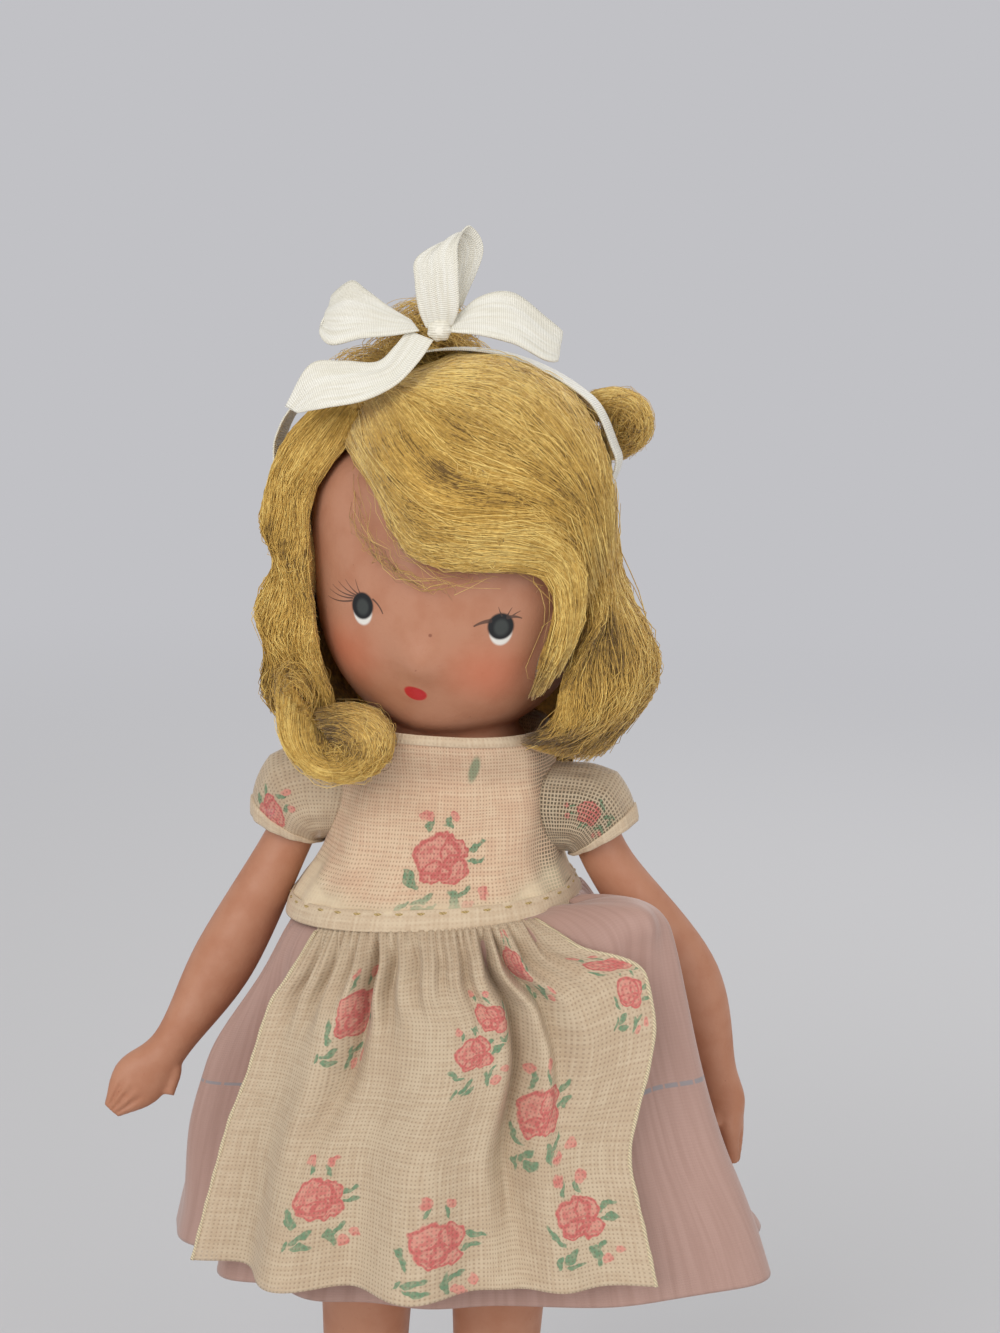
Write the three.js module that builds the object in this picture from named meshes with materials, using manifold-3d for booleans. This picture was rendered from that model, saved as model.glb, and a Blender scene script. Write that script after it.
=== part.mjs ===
// Small all-bisque doll with strung arms, a mohair wig tied with a ribbon bow, and a sprigged organdy dress.
// Millimetres, +Z up. The doll stands on its soles at z = 0, faces -Y, and its own right side is at -X.
import * as THREE from 'three';
import { mergeVertices } from 'three/addons/utils/BufferGeometryUtils.js';
import Module from 'manifold-3d';

const wasm = await Module();
wasm.setup();

// Clearances and thin stock
const GAP = 0.3;
const CLOTH = 0.5;
const RIBBON_WIDTH = 3.8;
const RIBBON_STOCK = 0.35;
const BISQUE_WALL = 2;
const MERGE_LIMIT = 1e-4;

// Legs and feet, cast in one with the body
const LEG_SPACING = 13.2;
const THIGH_WIDTH = 11.2;
const KNEE_WIDTH = 8.4;
const CALF_WIDTH = 8.6;
const ANKLE_WIDTH = 6;
const FOOT_WIDTH = 6.8;
const HEEL_BACK = 5;
const TOE_FRONT = 10.4;
const INSTEP_HEIGHT = 7.2;
const TOE_HEIGHT = 3.4;
const ANKLE_Z = 8.5;
const CALF_Z = 17;
const KNEE_Z = 27;
const LEG_TUCK = 5;

// Torso
const CROTCH_Z = 50;
const CROTCH_ROUND = 3;
const HIP_Z = 58;
const HIP_WIDTH = 25.6;
const HIP_DEPTH = 18;
const TRUNK_WAIST_Z = 73;
const TRUNK_WAIST_WIDTH = 22.4;
const TRUNK_WAIST_DEPTH = 16;
const CHEST_Z = 80;
const CHEST_WIDTH = 20.8;
const CHEST_DEPTH = 16.2;
const SHOULDER_LINE_Z = 87;
const SHOULDER_WIDTH = 19.2;
const SHOULDER_DEPTH = 12.6;
const NECK_Z = 94;
const NECK_WIDTH = 10.8;
const NECK_TUCK = 3;

// Head, measured from the neck pivot, with its tilt and turn on the shoulders
const HEAD_WIDTH = 26.4;
const HEAD_DEPTH = 26.4;
const HEAD_HEIGHT = 29.6;
const CHIN_RISE = -3.1;
const HEAD_OFFSET = -0.8;
const HEAD_TILT = THREE.MathUtils.degToRad(5.5);
const HEAD_TURN = THREE.MathUtils.degToRad(-3);

// Moulded face: each swelling sits at an angle round from the front and down from the crown, in degrees
const NOSE = { round: 0, down: 113, height: 1.1, spread: 8 };
const CHIN = { round: 0, down: 146, height: 0.5, spread: 15 };
const RIGHT_CHEEK = { round: -33, down: 119, height: 0.6, spread: 20 };
const LEFT_CHEEK = { round: 33, down: 119, height: 0.6, spread: 20 };

// Strung arms
const SHOULDER_Z = 84.5;
const SEAT_DEPTH = 0.6;
const SHOULDER_RADIUS = 3.4;
const SHOULDER_LENGTH = 6.3;
const ARM_OUT = 3.3;
const STRING_HOLE = 2.4;
const KNOT_RECESS = 3.4;
const KNOT_RECESS_DEPTH = 1.6;
const ELASTIC_DIAMETER = 1.2;
const ELASTIC_KNOT = 2.4;
const UPPER_ARM_WIDTH = 4.7;
const ELBOW_WIDTH = 6.2;
const WRIST_WIDTH = 3.9;
const PALM_WIDTH = 5.3;
const PALM_THICKNESS = 2.9;
const FINGERTIP = 1.9;
const THUMB_DIAMETER = 1.7;

// Dress
const WAIST_Z = 75;
const WAIST_SLANT_RATIO = 0.12;
const BODICE_EASE = 1.3;
const NECKLINE_TUCK = 1;
const NECK_CLEARANCE = 1;
const BINDING_HEIGHT = 1.3;
const WAISTBAND_HEIGHT = 1.4;
const ARMHOLE_RADIUS = 4;
const SLEEVE_ROOT = 9.4;
const SLEEVE_PUFF = 9.9;
const SLEEVE_HEM = 7.7;
const SLEEVE_SWING = THREE.MathUtils.degToRad(70);
const SLEEVE_STAND = 0.4;
const HEM_Z = 43;
const HEM_SLANT_RATIO = 0.06;
const HEM_WIDTH = 50;
const HEM_DEPTH = 46;
const SKIRT_SWAY = 1.9;
const SKIRT_FLARE_POWER = 0.85;
const SKIRT_FOLDS = 13;
const FOLD_DEPTH = 1.1;
const SIDE_PUFF = 4.6;
const SIDE_PUFF_HEM = 1.2;
const SWING_CLEARANCE = 1.1;
const PAST_HAND_FLARE_RATIO = 3;
const SIDE_PUFF_LIFT = 4.6;
const SIDE_PUFF_ANGLE = THREE.MathUtils.degToRad(-30);
const SIDE_PUFF_SPREAD = THREE.MathUtils.degToRad(15);
const APRON_LENGTH_SHARE = 0.9;
const APRON_RIGHT_EDGE = THREE.MathUtils.degToRad(-151);
const APRON_LEFT_EDGE = THREE.MathUtils.degToRad(-45);
const APRON_FOLDS = 9;
const APRON_FOLD_DEPTH = 0.8;
const PANTALOONS_TOP_Z = 66;
const PANTALOONS_HEM_Z = 41;
const PANTALOONS_EASE = 0.8;
const PIN_LENGTH = 11;
const PIN_WIRE = 0.6;
const PIN_SPACING = 1.6;
const PIN_Z = 83;

// Wig: depth of the hair over the scalp, its waves, and how far locks hang below the widest part of the head
const CAP_CLOTH = 0.6;
const CAP_EDGE_SHARE = 1.05;
const HAIR_CROWN = 5;
const HAIR_SIDE = 4.3;
const HAIR_TIP = 3.4;
const HAIR_WAVE = 0.6;
const HAIR_WAVES_DOWN = 7;
const HAIR_WAVES_ROUND = 3;
const LOCK_CURL = 0.9;
const LOCK_CURL_PITCH = 8.4;
const SEAM_DEGREES = 1.4;
const CROWN_SHARE = 0.3;
const FRONT_HAIRLINE_SHARE = 0.8;
const FRONT_HAIRLINE_SWEEP_SHARE = 0.27;
const FRONT_TIP = 1.9;
const RIGHT_LOCK_HANG = 10.4;
const LEFT_LOCK_HANG = 13.6;
const BACK_HANG = 17.5;
const FACE_HALF_DEGREES = 44;
const NAPE_HALF_DEGREES = 57;
const CURL_DIAMETER = 6.6;
const CURL_LENGTH = 11;
const CURL_FRONT = 10.8;
const PUFF_HEIGHT = 4.8;
const PUFF_FROM_DEGREES = 107;
const PUFF_TO_DEGREES = 152;
const PUFF_TOP_SHARE = 0.26;
const PUFF_BOTTOM_SHARE = 0.62;

// Ribbon bow, placed from its knot on top of the wig
const KNOT_X = -3.8;
const KNOT_Y = -4.4;
const KNOT_WIDTH = 4;
const KNOT_HEIGHT = 3.4;
const TOP_LOOP_HEIGHT = 7.6;
const TOP_LOOP_DEPTH = 3.8;
const SIDE_LOOP_RIGHT = 9.6;
const SIDE_LOOP_LEFT = 10.4;
const SIDE_LOOP_HEIGHT = 4.2;
const TAIL_LENGTH = 12;
const TAIL_DROP = 7;
const TAIL_FORWARD = 1.2;
const BAND_REACH = THREE.MathUtils.degToRad(74);

// Facets
const HEAD_SIDES = 30;
const HEAD_STEPS = 17;
const TRUNK_SIDES = 20;
const TRUNK_PITCH = 4;
const LEG_SIDES = 12;
const LEG_STEPS = 7;
const LIMB_SIDES = 12;
const LIMB_STEPS = 17;
const CORD_SIDES = 12;
const SKIRT_COLUMNS = 72;
const APRON_COLUMNS = 45;
const CLOTH_ROWS = 6;

const SIDES = { right: -1, left: 1 };
const vec = (x, y, z) => new THREE.Vector3(x, y, z);
const { lerp, clamp, smoothstep, degToRad } = THREE.MathUtils;

// Closed surfaces

function signedVolume(position, index) {
  const [a, b, c] = [vec(), vec(), vec()];
  let sum = 0;
  for (let i = 0; i < index.length; i += 3) {
    a.fromBufferAttribute(position, index[i]);
    b.fromBufferAttribute(position, index[i + 1]);
    c.fromBufferAttribute(position, index[i + 2]);
    sum += a.dot(b.cross(c)) / 6;
  }
  return sum;
}

// One closed body from points and triangles: shared corners merged, collapsed faces dropped, faces turned out.
function closedBody(points, faces) {
  const raw = new THREE.BufferGeometry();
  raw.setAttribute('position', new THREE.Float32BufferAttribute(points.flatMap((p) => p.toArray()), 3));
  raw.setIndex(faces.flat());
  const body = mergeVertices(raw, MERGE_LIMIT);
  const corners = Array.from(body.index.array);
  const kept = [];
  for (let i = 0; i < corners.length; i += 3) {
    const [a, b, c] = corners.slice(i, i + 3);
    if (a !== b && b !== c && c !== a) kept.push(a, b, c);
  }
  if (signedVolume(body.attributes.position, kept) < 0) kept.reverse();
  body.setIndex(kept);
  return body;
}

// Closed body from a stock geometry: only its positions are kept, and shared corners are merged.
function plain(geometry) {
  geometry.deleteAttribute('normal');
  geometry.deleteAttribute('uv');
  const merged = mergeVertices(geometry, MERGE_LIMIT);
  const position = merged.attributes.position;
  const points = Array.from({ length: position.count }, (_, i) => vec().fromBufferAttribute(position, i));
  return closedBody(points, [Array.from(merged.index.array)]);
}

// Body between two skins over the same grid; wrap joins the last column to the first.
function between(outer, inner, columns, rows, wrap = false) {
  const points = [];
  const across = wrap ? columns : columns + 1;
  const at = (side, i, j) => side * across * (rows + 1) + (i % across) * (rows + 1) + j;
  for (const skin of [outer, inner]) {
    for (let i = 0; i < across; i += 1) {
      for (let j = 0; j <= rows; j += 1) points.push(skin(i / columns, j / rows));
    }
  }
  const faces = [];
  const quad = (a, b, c, d) => faces.push([a, b, c], [a, c, d]);
  for (let i = 0; i < columns; i += 1) {
    for (let j = 0; j < rows; j += 1) {
      quad(at(0, i, j), at(0, i + 1, j), at(0, i + 1, j + 1), at(0, i, j + 1));
      quad(at(1, i, j), at(1, i, j + 1), at(1, i + 1, j + 1), at(1, i + 1, j));
    }
    quad(at(0, i, 0), at(1, i, 0), at(1, i + 1, 0), at(0, i + 1, 0));
    quad(at(0, i, rows), at(0, i + 1, rows), at(1, i + 1, rows), at(1, i, rows));
  }
  for (let j = 0; j < rows && !wrap; j += 1) {
    quad(at(0, 0, j), at(0, 0, j + 1), at(1, 0, j + 1), at(1, 0, j));
    quad(at(0, columns, j), at(1, columns, j), at(1, columns, j + 1), at(0, columns, j + 1));
  }
  return closedBody(points, faces);
}

// Body lofted through closed rings of equal count, with a fan over each end.
function loft(rings) {
  const count = rings[0].length;
  const points = rings.flat();
  const faces = [];
  for (let r = 0; r + 1 < rings.length; r += 1) {
    for (let i = 0; i < count; i += 1) {
      const a = r * count + i;
      const b = r * count + ((i + 1) % count);
      faces.push([a, b, b + count], [a, b + count, a + count]);
    }
  }
  for (const [r, flip] of [[0, true], [rings.length - 1, false]]) {
    const middle = rings[r].reduce((sum, p) => sum.add(p), vec(0, 0, 0)).divideScalar(count);
    const hub = points.push(middle) - 1;
    for (let i = 0; i < count; i += 1) {
      const a = r * count + i;
      const b = r * count + ((i + 1) % count);
      faces.push(flip ? [hub, b, a] : [hub, a, b]);
    }
  }
  return closedBody(points, faces);
}

// Oval rings along a path; size(t) gives the half-width across the up vector and the half-thickness along it.
function sweep(path, size, steps, sides, up) {
  const rings = [];
  for (let i = 0; i <= steps; i += 1) {
    const t = i / steps;
    const centre = path.getPoint(t);
    const along = path.getTangent(t);
    const across = along.clone().cross(up).normalize();
    const over = across.clone().cross(along).normalize();
    const { width, thickness } = size(t);
    const ring = [];
    for (let k = 0; k < sides; k += 1) {
      const angle = (2 * Math.PI * k) / sides;
      const point = centre.clone().addScaledVector(across, width * Math.cos(angle));
      ring.push(point.addScaledVector(over, thickness * Math.sin(angle)));
    }
    rings.push(ring);
  }
  return loft(rings);
}

// Flat ribbon along a path, its width lying along the given direction.
function ribbon(path, widthAlong, steps) {
  const half = widthAlong.clone().normalize().multiplyScalar(RIBBON_WIDTH / 2);
  const skin = (side) => (u, v) => {
    const normal = path.getTangentAt(u).cross(half).normalize();
    const point = path.getPointAt(u).addScaledVector(half, 2 * v - 1);
    return point.addScaledVector(normal, (side * RIBBON_STOCK) / 2);
  };
  return between(skin(1), skin(-1), steps, 1);
}

// Value of a field on a smooth curve through stations that are sorted by their place.
function alongStations(stations, place, field) {
  const last = stations.length - 1;
  let i = 0;
  while (i < last - 1 && place > stations[i + 1].at) i += 1;
  const before = stations[Math.max(i - 1, 0)];
  const start = stations[i];
  const end = stations[i + 1];
  const after = stations[Math.min(i + 2, last)];
  const span = end.at - start.at;
  const t = clamp((place - start.at) / span, 0, 1);
  const startSlope = ((end[field] - before[field]) / (end.at - before.at)) * span;
  const endSlope = ((after[field] - start[field]) / (after.at - start.at)) * span;
  const rise = end[field] - start[field];
  const bend = startSlope + endSlope - 2 * rise;
  return start[field] + t * (startSlope + t * (3 * rise - 2 * startSlope - endSlope + t * bend));
}

// Joining and cutting

function toSolid(geometry) {
  const vertProperties = new Float32Array(geometry.attributes.position.array);
  const triVerts = new Uint32Array(geometry.index.array);
  return new wasm.Manifold(new wasm.Mesh({ numProp: 3, vertProperties, triVerts }));
}

function fromSolid(solid) {
  const mesh = solid.getMesh();
  const points = [];
  for (let i = 0; i < mesh.vertProperties.length; i += mesh.numProp) {
    points.push(vec(...mesh.vertProperties.slice(i, i + 3)));
  }
  return closedBody(points, [Array.from(mesh.triVerts)]);
}

const join = (...parts) => fromSolid(parts.map(toSolid).reduce((sum, part) => sum.add(part)));

function cut(part, ...tools) {
  return fromSolid(tools.map(toSolid).reduce((rest, tool) => rest.subtract(tool), toSolid(part)));
}

// Layers that cut the dress reach past every side of it.
const cutReach = HEM_WIDTH + HEM_DEPTH;

// Block that fills all space between two heights, each a plane that may slant along X.
function layer(bottom, top, slant = 0) {
  const skin = (z) => (u, v) => {
    const x = lerp(-cutReach, cutReach, u);
    return vec(x, lerp(-cutReach, cutReach, v), z + slant * x);
  };
  return between(skin(top), skin(bottom), 1, 1);
}

// Rod along X between two places, centred on the shoulder axis.
function shoulderRod(radius, from, to, sides = 2 * CORD_SIDES) {
  const rod = new THREE.CylinderGeometry(radius, radius, Math.abs(to - from), sides);
  rod.rotateZ(Math.PI / 2);
  rod.translate((from + to) / 2, 0, SHOULDER_Z);
  return plain(rod);
}

// Trunk

const TRUNK = [
  { at: CROTCH_Z - CROTCH_ROUND, w: 0.32 * HIP_WIDTH, d: 0.3 * HIP_DEPTH },
  { at: CROTCH_Z, w: 0.45 * HIP_WIDTH, d: 0.44 * HIP_DEPTH },
  { at: HIP_Z, w: HIP_WIDTH / 2, d: HIP_DEPTH / 2 },
  { at: TRUNK_WAIST_Z, w: TRUNK_WAIST_WIDTH / 2, d: TRUNK_WAIST_DEPTH / 2 },
  { at: CHEST_Z, w: CHEST_WIDTH / 2, d: CHEST_DEPTH / 2 },
  { at: SHOULDER_LINE_Z, w: SHOULDER_WIDTH / 2, d: SHOULDER_DEPTH / 2 },
  { at: NECK_Z, w: NECK_WIDTH / 2, d: NECK_WIDTH / 2 },
  { at: NECK_Z + NECK_TUCK, w: NECK_WIDTH / 2, d: NECK_WIDTH / 2 },
];
const OVAL_POWER = 2.4;
const SEAT_X = CHEST_WIDTH / 2 - SEAT_DEPTH;

// Point of a slightly squared oval; a circle at power 2.
function oval(halfWidth, halfDepth, angle, power = OVAL_POWER) {
  const round = (value) => Math.sign(value) * Math.abs(value) ** (2 / power);
  return vec(halfWidth * round(Math.cos(angle)), halfDepth * round(Math.sin(angle)), 0);
}

function trunkPoint(angle, z, grow) {
  const w = alongStations(TRUNK, z, 'w') + grow;
  const d = alongStations(TRUNK, z, 'd') + grow;
  const point = oval(w, d, angle);
  point.z = z + grow * smoothstep(z, CHEST_Z, NECK_Z);
  return point;
}

// Trunk grown outwards by grow(z), between two heights, with every layer faceted alike.
function trunk(grow, fromZ, toZ) {
  const levels = [fromZ];
  for (let z = CROTCH_Z - CROTCH_ROUND; z < toZ; z += TRUNK_PITCH) {
    if (z > fromZ) levels.push(z);
  }
  levels.push(toZ);
  const rings = levels.map((z) => {
    const angles = Array.from({ length: TRUNK_SIDES }, (_, i) => (2 * Math.PI * i) / TRUNK_SIDES);
    return angles.map((angle) => trunkPoint(angle, z, grow(z)));
  });
  return loft(rings);
}

const LEG = [
  { at: ANKLE_Z / 2, w: ANKLE_WIDTH / 2 },
  { at: ANKLE_Z, w: ANKLE_WIDTH / 2 },
  { at: CALF_Z, w: CALF_WIDTH / 2 },
  { at: KNEE_Z, w: KNEE_WIDTH / 2 },
  { at: CROTCH_Z, w: THIGH_WIDTH / 2 },
  { at: CROTCH_Z + LEG_TUCK, w: 0.46 * THIGH_WIDTH },
];

function leg(side, grow, fromZ = LEG[0].at) {
  const rings = [];
  for (let r = 0; r <= LEG_STEPS; r += 1) {
    const z = lerp(fromZ, CROTCH_Z + LEG_TUCK, r / LEG_STEPS);
    const w = alongStations(LEG, z, 'w') + grow;
    const ring = [];
    for (let i = 0; i < LEG_SIDES; i += 1) {
      const point = oval(w, w, (2 * Math.PI * i) / LEG_SIDES, 2);
      ring.push(point.add(vec((side * LEG_SPACING) / 2, 0, z)));
    }
    rings.push(ring);
  }
  return loft(rings);
}

// Foot with a flat sole, rising from the toe to the instep and rounded at both ends.
function foot(side) {
  const rings = [];
  const steps = 8;
  const arch = 8;
  for (let r = 0; r <= steps; r += 1) {
    const t = r / steps;
    const y = lerp(HEEL_BACK, -TOE_FRONT, t);
    const roundness = Math.sqrt(Math.max(0.2, 1 - (2 * t - 1) ** 4));
    const height = lerp(INSTEP_HEIGHT, TOE_HEIGHT, smoothstep(t, 0.35, 1)) * lerp(0.75, 1, roundness);
    const ring = [];
    for (let i = 0; i <= arch; i += 1) {
      const angle = (Math.PI * i) / arch;
      const x = (FOOT_WIDTH / 2) * roundness * Math.cos(angle);
      ring.push(vec((side * LEG_SPACING) / 2 + x, y, height * Math.sin(angle) ** 0.7));
    }
    rings.push(ring);
  }
  return loft(rings);
}

// Head

const headRise = HEAD_HEIGHT / 2 + CHIN_RISE;
const headPlace = new THREE.Matrix4()
  .makeTranslation(HEAD_OFFSET, 0, NECK_Z)
  .multiply(new THREE.Matrix4().makeRotationY(HEAD_TILT))
  .multiply(new THREE.Matrix4().makeRotationZ(HEAD_TURN));

// Direction from the middle of the head: round from the front towards +X, and down from the crown.
function headDirection(round, down) {
  return vec(Math.sin(down) * Math.sin(round), -Math.sin(down) * Math.cos(round), Math.cos(down));
}

function swelling(direction, feature) {
  const peak = headDirection(degToRad(feature.round), degToRad(feature.down));
  const away = direction.angleTo(peak) / degToRad(feature.spread);
  return feature.height * Math.exp(-away * away);
}

function headPoint(round, down, grow, face = []) {
  const direction = headDirection(round, down);
  const half = vec(HEAD_WIDTH / 2, HEAD_DEPTH / 2, HEAD_HEIGHT / 2).multiply(direction);
  const out = grow + face.reduce((sum, feature) => sum + swelling(direction, feature), 0);
  return half.addScaledVector(direction, out).add(vec(0, 0, headRise));
}

function head(grow, sides, steps, face) {
  const rings = [];
  for (let r = 1; r < steps; r += 1) {
    const ring = [];
    for (let i = 0; i < sides; i += 1) {
      ring.push(headPoint((2 * Math.PI * i) / sides, (Math.PI * r) / steps, grow, face));
    }
    rings.push(ring);
  }
  return loft(rings).applyMatrix4(headPlace);
}

// Bisque casting: head, trunk and legs in one, hollow, with a seat and a stringing hole at each shoulder.
function bodyCasting() {
  const face = [NOSE, CHIN, RIGHT_CHEEK, LEFT_CHEEK];
  const sides = Object.values(SIDES);
  const outside = join(
    head(0, HEAD_SIDES, HEAD_STEPS, face),
    trunk(() => 0, CROTCH_Z - CROTCH_ROUND, NECK_Z + NECK_TUCK),
    ...sides.map((side) => leg(side, 0)),
    ...sides.map((side) => foot(side)),
  );
  const hollow = join(
    head(-BISQUE_WALL, HEAD_SIDES / 2, Math.round(HEAD_STEPS / 2)),
    trunk(() => -BISQUE_WALL, CROTCH_Z + BISQUE_WALL, NECK_Z + CHIN_RISE + 3 * BISQUE_WALL),
  );
  const seats = sides.map((side) => shoulderRod(SHOULDER_RADIUS + GAP, side * SEAT_X, side * CHEST_WIDTH));
  const stringing = shoulderRod(STRING_HOLE / 2, -CHEST_WIDTH, CHEST_WIDTH, CORD_SIDES);
  return cut(outside, hollow, ...seats, stringing);
}

// Arms

const armRoot = SEAT_X + GAP;
const armAxis = armRoot + ARM_OUT;

// Arms from the shoulder, and thumbs from the palm: how far out, back and down each point lies.
const ARM_ROUTE = {
  right: [[0, 0, 0], [2.2, -0.3, 5.4], [7.6, -2.4, 16.8], [11.8, -5.6, 24.6], [14.8, -7.4, 28.3], [17, -8.6, 31]],
  left: [[0, 0, 0], [2.4, 0.4, 5.4], [10.1, 2.2, 16.4], [13.5, 3, 26.4], [14.9, 2.7, 31.2], [15.5, 2, 35]],
};
const THUMB_ROUTE = {
  right: [[0, 0, 0], [-1.5, -0.3, 0.8], [-1.1, -0.9, 3.4]],
  left: [[0, 0, 0], [-0.2, -1.7, 0.6], [-0.5, -4.3, 2.2]],
};
const THUMB_SHARE = 0.66;
const ARM_SIZES = [
  { at: 0, across: UPPER_ARM_WIDTH / 2, deep: UPPER_ARM_WIDTH / 2, hand: 0 },
  { at: 0.2, across: UPPER_ARM_WIDTH / 2, deep: UPPER_ARM_WIDTH / 2, hand: 0 },
  { at: 0.4, across: ELBOW_WIDTH / 2, deep: 0.46 * ELBOW_WIDTH, hand: 0 },
  { at: 0.6, across: WRIST_WIDTH / 2, deep: WRIST_WIDTH / 2, hand: 0 },
  { at: 0.8, across: PALM_WIDTH / 2, deep: PALM_THICKNESS / 2, hand: 1 },
  { at: 1, across: FINGERTIP / 2, deep: 0.4 * FINGERTIP, hand: 1 },
];

// Smooth path through points given as out, back and down from a start on the arm's own side.
function sidePath(name, start, route) {
  const points = route.map(([out, back, down]) => {
    return start.clone().add(vec(SIDES[name] * out, back, -down));
  });
  return new THREE.CatmullRomCurve3(points);
}

const armPath = (name) => sidePath(name, vec(SIDES[name] * armAxis, 0, SHOULDER_Z), ARM_ROUTE[name]);

function shoulderKnob(side) {
  const profile = [new THREE.Vector2(0, 0), new THREE.Vector2(SHOULDER_RADIUS - GAP, 0)];
  const dome = 5;
  for (let i = 0; i < dome; i += 1) {
    const angle = (Math.PI / 2) * (i / dome);
    const height = SHOULDER_LENGTH - SHOULDER_RADIUS * (1 - Math.sin(angle));
    profile.push(new THREE.Vector2(SHOULDER_RADIUS * Math.cos(angle), height));
  }
  profile.push(new THREE.Vector2(0, SHOULDER_LENGTH));
  const knob = new THREE.LatheGeometry(profile, LIMB_SIDES);
  knob.rotateZ((-side * Math.PI) / 2);
  knob.translate(side * armRoot, 0, SHOULDER_Z);
  return plain(knob);
}

// Arm with a rounded shoulder, a swelling forearm and a mitten hand, bored on the shoulder axis for the cord.
// The right palm lies flat to the front, and the left one is turned in towards the skirt.
function arm(name) {
  const side = SIDES[name];
  const path = armPath(name);
  const palmFlat = name === 'right';
  const size = (t) => {
    const across = alongStations(ARM_SIZES, t, 'across');
    const deep = alongStations(ARM_SIZES, t, 'deep');
    const turned = palmFlat ? 0 : clamp(alongStations(ARM_SIZES, t, 'hand'), 0, 1);
    return { width: lerp(across, deep, turned), thickness: lerp(deep, across, turned) };
  };
  const thumbSize = (t) => {
    const radius = (THUMB_DIAMETER / 2) * lerp(1, 0.6, t);
    return { width: radius, thickness: radius };
  };
  const thumbPath = sidePath(name, path.getPoint(THUMB_SHARE), THUMB_ROUTE[name]);
  const limb = sweep(path, size, LIMB_STEPS, LIMB_SIDES, vec(0, 1, 0));
  const thumb = sweep(thumbPath, thumbSize, 5, 8, palmFlat ? vec(0, 1, 0) : vec(1, 0, 0));
  const outer = armRoot + SHOULDER_LENGTH;
  const recess = outer - KNOT_RECESS_DEPTH;
  return cut(
    join(shoulderKnob(side), limb, thumb),
    shoulderRod(STRING_HOLE / 2, side * (armRoot - GAP), side * outer, CORD_SIDES),
    shoulderRod(KNOT_RECESS / 2, side * recess, side * 2 * outer, CORD_SIDES),
  );
}

// Inner side of an arm, by its distance from the shoulder axis.
function armInside(name) {
  const path = armPath(name);
  return Array.from({ length: LIMB_STEPS + 1 }, (_, i) => {
    const t = i / LIMB_STEPS;
    const point = path.getPoint(t);
    const inner = Math.abs(point.x) - alongStations(ARM_SIZES, t, 'across');
    return { at: Math.hypot(point.y, point.z - SHOULDER_Z), inner };
  });
}

const ARM_INSIDE = { right: armInside('right'), left: armInside('left') };

// How far out the skirt may stand at a place beside the body, so that the arm on that side swings past it.
function swingRoom(name, y, z) {
  const stations = ARM_INSIDE[name];
  const reach = Math.hypot(y, z - SHOULDER_Z);
  const pastHand = Math.max(0, reach - stations.at(-1).at - FINGERTIP);
  return alongStations(stations, reach, 'inner') - SWING_CLEARANCE + PAST_HAND_FLARE_RATIO * pastHand;
}

// Elastic cord through both arms and the trunk, with a knot in each shoulder's recess.
function armElastic() {
  const knotCentre = armRoot + SHOULDER_LENGTH - KNOT_RECESS_DEPTH + GAP + ELASTIC_KNOT / 2;
  const knots = Object.values(SIDES).map((side) => {
    const ball = new THREE.SphereGeometry(ELASTIC_KNOT / 2, 10, 7);
    ball.translate(side * knotCentre, 0, SHOULDER_Z);
    return plain(ball);
  });
  return join(shoulderRod(ELASTIC_DIAMETER / 2, -knotCentre, knotCentre, 8), ...knots);
}

// Dress

const waistLine = (x) => WAIST_Z + WAIST_SLANT_RATIO * x;
const waistEase = (z) => BODICE_EASE * (1 - smoothstep(z, TRUNK_WAIST_Z, CHEST_Z));
const necklineZ = NECK_Z + CHIN_RISE + NECKLINE_TUCK;
const chinFront = (HEAD_DEPTH / 2) * Math.sqrt(1 - (1 - (2 * NECKLINE_TUCK) / HEAD_HEIGHT) ** 2) + CHIN.height;
const neckOpen = Math.max(0, chinFront + NECK_CLEARANCE - alongStations(TRUNK, necklineZ, 'd'));
const neckEase = (z) => neckOpen * smoothstep(z, SHOULDER_LINE_Z, necklineZ);
const bodiceEase = (z) => GAP + waistEase(z) + neckEase(z);

// Bodice: one cloth layer round the trunk, cut off along the slanting waist and the neckline, with armholes.
function bodice() {
  const low = WAIST_Z - WAIST_SLANT_RATIO * TRUNK_WAIST_WIDTH - TRUNK_PITCH;
  const outer = trunk((z) => bodiceEase(z) + CLOTH, low, NECK_Z);
  const inner = trunk(bodiceEase, low - CLOTH, NECK_Z + CLOTH);
  const armhole = shoulderRod(ARMHOLE_RADIUS, -2 * CHEST_WIDTH, 2 * CHEST_WIDTH);
  const belowWaist = layer(WAIST_Z - cutReach, WAIST_Z, WAIST_SLANT_RATIO);
  const aboveNeck = layer(necklineZ, necklineZ + cutReach);
  return cut(outer, belowWaist, aboveNeck, inner, armhole);
}

// Band that hugs the bodice from outside between two heights above its edge.
function hugBand(edge, grow, bottom, top, columns) {
  const skin = (out) => (u, v) => {
    const angle = 2 * Math.PI * u;
    const guess = trunkPoint(angle, edge(0), 0);
    const z = edge(guess.x);
    const point = trunkPoint(angle, z, 0);
    const spread = oval(1, 1, angle, 2).multiplyScalar(grow(z) + out);
    return vec(point.x + spread.x, point.y + spread.y, z + lerp(bottom, top, v));
  };
  return between(skin(CLOTH), skin(0), columns, 1, true);
}

function waistband() {
  const grow = (z) => bodiceEase(z) + CLOTH + 2 * GAP;
  return hugBand(waistLine, grow, 0, WAISTBAND_HEIGHT, 40);
}

function neckBinding() {
  const grow = (z) => bodiceEase(z) + CLOTH + 3 * GAP;
  return hugBand(() => necklineZ - BINDING_HEIGHT, grow, GAP, GAP + BINDING_HEIGHT, 32);
}

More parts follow.
